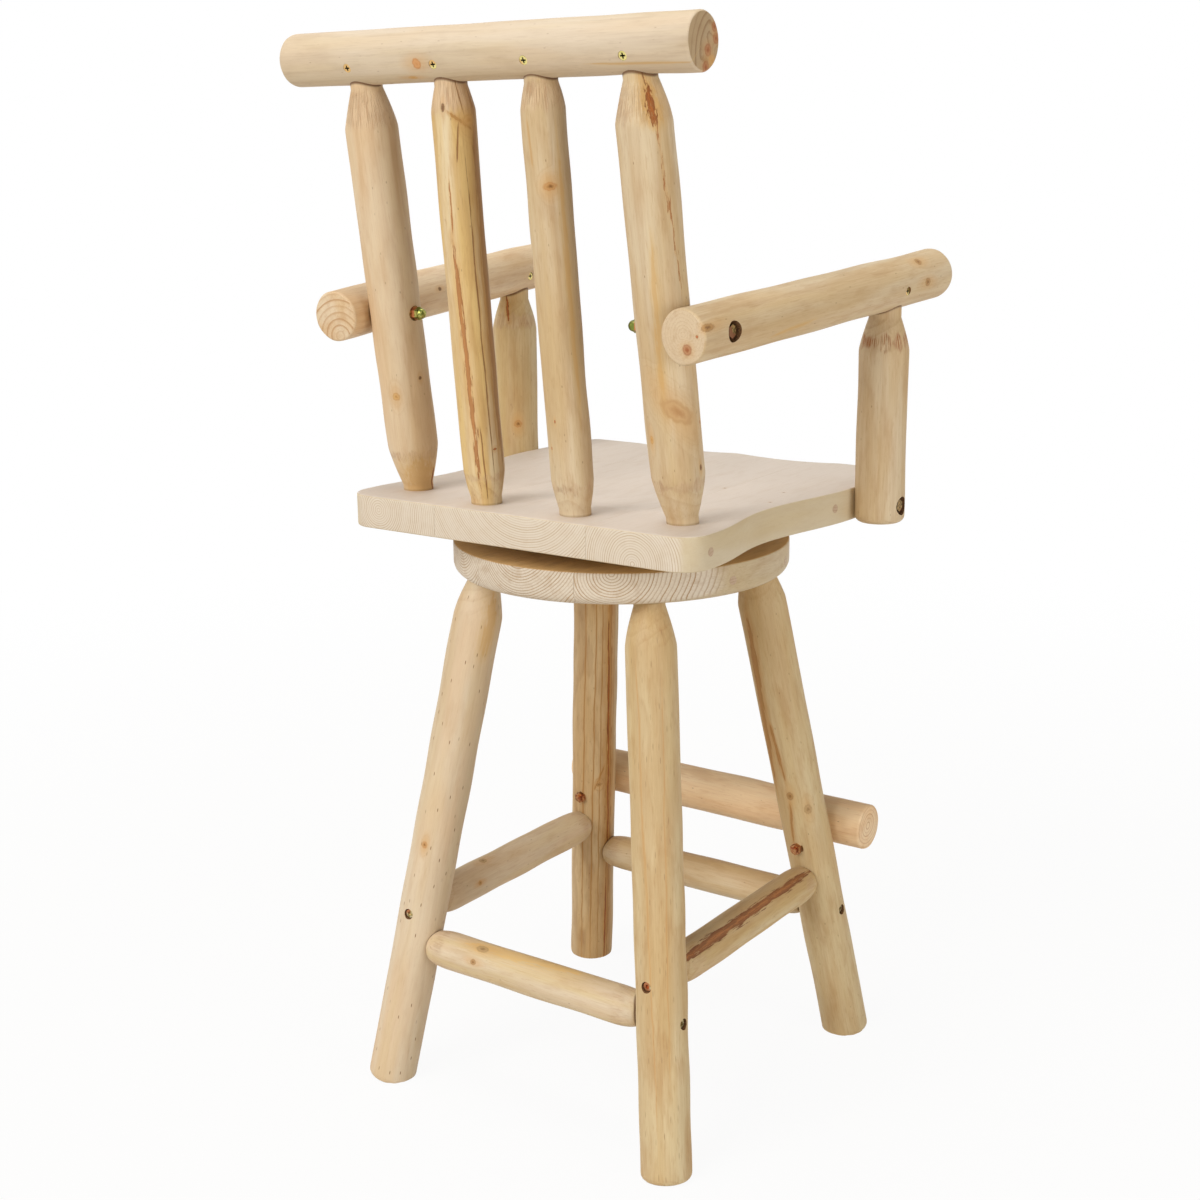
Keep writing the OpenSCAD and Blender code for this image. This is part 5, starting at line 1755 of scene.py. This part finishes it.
def log_woods() -> dict[str, Wood]:
    """The wood of each log, with its marks as the photograph shows them.

    Returns:
        Woods by node name.
    """
    def leg(corner: str, seed: float, **marks: object) -> Wood:
        """One leg's wood."""
        return Wood(f"leg_{corner}", seed, radius=29.5, **marks)

    def bar(name: str, seed: float, **marks: object) -> Wood:
        """One stretcher's wood, whose noses have torn fibres."""
        return Wood(name, seed, radius=23.0, tapers=((42.0, 10.0, 0.2), (308.0, 10.0, 0.2)), torn_share=0.3, **marks)

    ends = ((73.0, 6.0, 0.3), (464.0, 22.0, 0.35))
    cone = ((211.0, 9.0, 0.3),)
    woods = (
        leg("back_right", 2.7, tone=Tone.HONEY, gold_share=0.3, ring_strength=0.20, wander=6.5, fleck_across=8,
            fleck_along=30, fleck_long=4.0, fleck_share=0.40,
            streaks=(Streak(330, 590, -30, -36, 1.6, StreakKind.LINE, 3.0),
                     Streak(60, 420, -18, -30, 1.4, StreakKind.LINE, 3.0),
                     Streak(120, 560, 12, 20, 1.4, StreakKind.LINE, 3.0))),
        leg("back_left", 1.3, tone=Tone.CREAM, gold_share=0.3, fleck_across=13, fleck_along=30, fleck_share=1.0,
            fleck_long=2.6, fibre=0.2,
            knots=(Knot(318, -22, 3.4),),
            streaks=(Streak(560, 640, 34, 44, 12, StreakKind.STAIN),)),
        leg("front_right", 4.4, tone=Tone.HONEY, gold_share=0.25, ring_strength=0.15,
            knots=(Knot(354, -30, 4.2, KnotKind.AGED), Knot(333, 7, 4.8, KnotKind.GREY)),
            streaks=(Streak(370, 600, -72, -50, 9.0, StreakKind.BROWN_MARK_AND_SHADE),
                     Streak(372, 455, -34, -46, 3.5, StreakKind.BROWN_MARK_AND_SHADE),
                     Streak(290, 345, -44, -34, 3.0, StreakKind.BROWN_MARK_AND_SHADE))),
        leg("front_left", 3.9, tone=Tone.BROWN, gold_share=0.3, ring_strength=0.35, wander=6.0,
            knots=(Knot(303, 13, 3.6, KnotKind.AGED, 0.8),),
            # Painted shade: a brown band down the log's right side, away from the light
            streaks=(Streak(5, 640, 46, 38, 9.0, StreakKind.BROWN_MARK_AND_SHADE),
                     Streak(180, 560, 44, 34, 3.4, StreakKind.FLAME, 2.0, 1.4),
                     Streak(5, 150, 36, 40, 3.0, StreakKind.FLAME, 1.5, 1.2),
                     Streak(296, 332, 2, 28, 2.6, StreakKind.BROWN_MARK_AND_SHADE, 0.5),
                     Streak(5, 640, -30, -26, 1.3, StreakKind.BROWN_MARK_AND_SHADE, 3.0, 0.8),
                     Streak(5, 640, -6, 2, 1.2, StreakKind.BROWN_MARK_AND_SHADE, 3.0, 0.8),
                     Streak(5, 640, 14, 18, 1.0, StreakKind.BROWN_MARK_AND_SHADE, 3.0, 0.8))),
        bar("stretcher_left", 5.2, tone=Tone.CREAM, gold_share=0.5,
            knots=(Knot(79, 8, 2.8), Knot(107, -58, 4.2, KnotKind.GREY))),
        bar("stretcher_right", 6.8, tone=Tone.HONEY, gold_share=0.6, ring_strength=0.3,
            streaks=(Streak(-50, 345, -23, -36, 11.0, StreakKind.BARK, 2.0, 1.5),)),
        bar("stretcher_front", 7.1, tone=Tone.TAN, gold_share=0.5),
        bar("stretcher_back", 8.5, tone=Tone.CREAM, gold_share=0.7,
            knots=(Knot(106, -49, 4.5, KnotKind.GREY, 1.8), Knot(101, -2, 3.2, KnotKind.AGED)),
            streaks=(Streak(80, 250, -58, -76, 16.0, StreakKind.GOLD),)),
        Wood("foot_bar", 17.4, tone=Tone.PEACH_LIGHTENED, gold_share=0.3, ring_width=5.0, end_strength=0.9, flame=0.12),
        Wood("back_post_left", 9.6, tone=Tone.ROSE, gold_share=0.2, fibre=0.22, tapers=ends,
            knots=(Knot(146, -20, 4.4, KnotKind.PALE, 1.0), Knot(164, 43, 2.0, KnotKind.DARK, 1.0)),
            streaks=(Streak(-20, 70, 20, 20, 50.0, StreakKind.STAIN, 0.5),
                     Streak(22, 54, 74, 66, 6.0, StreakKind.FLAME))),
        Wood("spindle_left", 11.4, tone=Tone.GOLDEN, gold_share=1.0, radius=23.5, ring_strength=0.22,
            tapers=((60.0, 5.0, 0.3), (476.0, 25.0, 0.85)),
            knots=(Knot(460, -25, 2.0, KnotKind.DARK, 2.4, 21.6), Knot(446, 44, 8.0, KnotKind.SOFT, 0.7),
                   Knot(92, 40, 2.4, KnotKind.RED, 0.5)),
            # Painted shade: a brown band down the log's right side, away from the light
            streaks=(Streak(60, 480, 68, 62, 12.0, StreakKind.BROWN_MARK_AND_SHADE, 3.0, 1.0),
                     Streak(436, 456, 50, -10, 4.0, StreakKind.BROWN_MARK_AND_SHADE, 0.5, 1.5),
                     Streak(60, 330, -12, -26, 5.5, StreakKind.RESIN, 1.2, 2.4),
                     Streak(320, 392, -26, -22, 1.8, StreakKind.RESIN, 1.2, 4.0),
                     Streak(452, 494, 30, 16, 1.3, StreakKind.CRACK, 0.6, 0.8),
                     Streak(404, 446, 2, 14, 1.6, StreakKind.CRACK, 0.8, 0.8),
                     Streak(60, 430, 30, 24, 1.4, StreakKind.CRACK, 2.5, 1.2),
                     Streak(30, 120, 8, 2, 1.4, StreakKind.CRACK, 1.2, 1.2),
                     Streak(60, 400, 50, 46, 2.6, StreakKind.LINE, 3.0))),
        Wood("spindle_right", 12.9, tone=Tone.TAN, gold_share=0.4, radius=23.5,
            tapers=((60.0, 5.0, 0.3), (470.0, 17.0, 0.35)),
            knots=(Knot(380, 2, 6.6, KnotKind.TIGHT, 0.6), Knot(135, -36, 0.9, KnotKind.RED, 2.0),
                   Knot(105, -56, 0.9, KnotKind.RED, 2.0)),
            streaks=(Streak(400, 448, -40, -46, 2.0, StreakKind.LINE, 0.3),
                     Streak(150, 420, 36, 30, 5.0, StreakKind.STAIN))),
        Wood("back_post_right", 10.2, tone=Tone.TAN, gold_share=0.5, tapers=ends,
            knots=(Knot(155, 7, 12.0, KnotKind.WIDE, 1.15, None, 0.7), Knot(125, -58, 2.6, KnotKind.PALE, 1.6),
                   Knot(137, 69, 1.4, KnotKind.RED), Knot(90, 54, 2.0, KnotKind.DARK, 1.6)),
            streaks=(Streak(440, 506, 20, 4, 22.0, StreakKind.STAIN, 0.8, 1.0),
                     Streak(440, 480, 16, 12, 9.5, StreakKind.FLAME, 0.8, 1.8),
                     Streak(476, 502, 11, -2, 2.2, StreakKind.CRACK, 0.6, 1.6),
                     Streak(280, 440, 44, 17, 1.7, StreakKind.RESIN, 0.8, 8.0),
                     Streak(170, 330, -20, -12, 5.0, StreakKind.STAIN, 2.0))),
        Wood("top_rail", 18.8, tone=Tone.RAIL, gold_share=0.35, ring_strength=0.04, end_strength=0.8, fibre=0.14,
            ring_width=7.5, pith=(-30.0, 4.0), wander=5.0, end_tone=0xB0946C, fleck_share=0.35,
            knots=(Knot(200, 39, 5.6, KnotKind.DISC, 0.95), Knot(186, 73, 2.2, KnotKind.SOFT, 2.5),
                   Knot(535, 150, 5.5, KnotKind.RUST, 1.0, 11.4), Knot(535, -155, 5.0, KnotKind.RUST, 1.0, 22.2),
                   Knot(535, -128, 4.5, KnotKind.RUST, 1.0, 23.5), Knot(535, 117, 5.5, KnotKind.RUST, 1.0, 24.5),
                   Knot(535, 147, 5.0, KnotKind.SOFT, 1.0, 23.3)),
            streaks=(Streak(420, 530, 56, 62, 2.0, StreakKind.STAIN),)),
        Wood("armrest_left", 13.3, tone=Tone.ROSE, gold_share=0.3, radius=28.5, end_strength=0.8, ring_width=7.0,
            pith=(-8.0, 22.0),
            knots=(Knot(170, 17, 2.4, KnotKind.DARK),)),
        Wood("armrest_right", 14.1, tone=Tone.TAN, gold_share=0.3, radius=28.5, end_strength=0.20,
            end_tone=0xDEC8A8,
            knots=(Knot(416, -24, 4.5, KnotKind.AGED, 1.2), Knot(421, 28, 4.5, KnotKind.AGED, 1.2),
                   Knot(0, 95, 5.2, KnotKind.RUST, 1.0, 13.0), Knot(0, 20, 1.5, KnotKind.RED, 1.0, 17.6),
                   Knot(6, 4, 3.8, KnotKind.AGED, 2.6)),
            streaks=(Streak(120, 190, 60, 46, 3.4, StreakKind.STAIN),)),
        Wood("arm_post_left", 15.7, tone=Tone.HONEY, gold_share=0.5, tapers=cone,
            knots=(Knot(77, 6, 5.0, KnotKind.TIGHT, 0.9),),
            streaks=(Streak(208, 244, -12, -30, 5.0, StreakKind.FLAME),)),
        Wood("arm_post_right", 16.2, tone=Tone.TAN, gold_share=0.35, tapers=cone, ring_strength=0.22,
            torn_share=0.9),
    )
    return {wood.name: wood for wood in woods}


def seat_boards() -> tuple[Board, ...]:
    """The three boards of the seat, with short dark knots at places in mm of its top.

    Returns:
        The boards from the sitter's left to the right.
    """
    edge = S.hip_half + BOARD_PAST
    rows = (("left", S.seat_joint, edge, 0.190, 0.023, 21.5, ()),
            ("middle", -S.seat_joint, S.seat_joint, -0.020, 0.085, 22.3, ((28, -118), (-102, -70))),
            ("right", -edge, -S.seat_joint, -0.165, 0.003, 23.8, ((-189, -58), (-206, 3))))
    return tuple(
        Board(f"seat_board_{side}", low, high, pith_x, pith_z, Wood(
            f"seat_{side}", seed, tone=Tone.BOARD, gold_share=0.4, fibre=0.12, ring_width=2.8, ring_strength=0.02,
            # The top tone is painted light: the seat's upward faces paler than its wood
            end_strength=0.85, end_tone=0xE4D9CA, wander=3.0, flame=0.08, fleck_share=0.0, painted_top_tone=0xE8DCD1,
            radius=0.0, pith=(0.0, 0.0),
            knots=tuple(Knot(y, 0, 1.5, KnotKind.DARK, 0.6, x - pith_x / MM, 0.0, True) for x, y in dashes)))
        for side, low, high, pith_x, pith_z, seed, dashes in rows)


def disc_boards() -> tuple[Board, ...]:
    """The three boards of the disc.

    Returns:
        The boards from the sitter's left to the right.
    """
    edge = S.disc_r + BOARD_PAST
    rows = (("left", S.disc_joint, edge, 0.107, 0.050, 24.5),
            ("middle", -S.disc_joint, S.disc_joint, 0.0, 0.065, 25.1),
            ("right", -edge, -S.disc_joint, -0.105, 0.036, 26.4))
    return tuple(
        Board(f"disc_board_{side}", low, high, pith_x, pith_z, Wood(
            f"disc_{side}", seed, tone=Tone.DISC, gold_share=0.4, ring_width=3.2, ring_strength=0.06,
            # The top tone is partly the disc's golden wood and partly painted warm shade under the seat
            end_strength=0.95, end_from=0.30, end_tone=0xE3D9CA, wander=3.5, flame=0.12, painted_top_tone=0xE6BC7E,
            fleck_share=0.0, radius=0.0, pith=(0.0, 0.0)))
        for side, low, high, pith_x, pith_z, seed in rows)


def dress_fasteners() -> None:
    """Gives the swivel and the fasteners their platings."""
    _, out, down = RAIL_SCREW_WAY
    rail_row = Drive((0.0, S.rail_y + S.rail_r * out, S.rail_z + S.rail_r * down), (1.0, 0.0, 0.0), (0.0, -down, out),
                     (S.post_head_x, S.spindle_head_x))
    arm_row = Drive((0.0, S.arm_post_y, S.arm_front_z - S.arm_screw_drop), (0.0, 1.0, 0.0), (0.0, 0.0, 1.0), (0.0,))
    for plating, nodes in (
        (Plating("green_zinc", 0xB0A85C, 0x546830, 0x78803C, copper_from=0.149), "acorn_nuts"),
        (Plating("red_zinc", 0xBA8A5C, 0x96543A, 0x805C42, 0.40), "foot_bar_nuts foot_bar_bolts"),
        (Plating("worn_zinc", 0xA88652, 0x5C4E2C, 0x84583A, 0.48),
         "arm_bolts arm_bolt_washers arm_post_bolts arm_post_washers foot_bar_washers"),
        (Plating("yellow_screws", 0xF0DE96, 0xD6CC7A, 0xE4BA78, drives=(rail_row, arm_row)),
         "leg_screws spindle_screws rail_screws arm_screws"),
        (Plating("dull_zinc", 0xD6C8A0, 0xA08E5C, 0xB87A54, 0.45), "stretcher_bolts"),
        (Plating("swivel_plate", 0x969692, 0x7E7A72, 0x8C8880, 0.45),
         "swivel_lower_plate swivel_upper_plate swivel_retaining_ring lower_plate_screws upper_plate_screws "
         "swivel_rivets"),
        (Plating("ball_steel", 0xC8C8CA, 0xBEBEBE, 0xC4C4C4, 0.2), "bearing_balls"),
        (Plating("cage_nylon", 0xDED8C8, 0xCEC6B4, 0xD6CEBE, 0.5, 0.0), "ball_cage"),
    ):
        material = plating.material()
        for node in nodes.split():
            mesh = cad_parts[node].data
            mesh.materials.clear()
            mesh.materials.append(material)
            LOG.info("%s: %s", node, plating.name)


def main() -> None:
    """Builds the stool's dress from the floor up, then the studio."""
    logging.basicConfig(level=logging.INFO, format="%(name)s %(message)s")
    VIEW.camera()
    woods = log_woods()
    Base(woods).build()
    dowel_wood = Wood("dowels", 31.0, tone=Tone.DOWEL, fleck_share=0.0).material(
        Axis((0.0, 0.0, 0.0), (1.0, 0.0, 0.0)))
    Disc(disc_boards()).build(dowel_wood)
    Seat(seat_boards()).build(dowel_wood)
    Back(woods).build()
    Arms(woods).build()
    dress_fasteners()
    Studio().build()


if __name__ == "__main__":
    main()
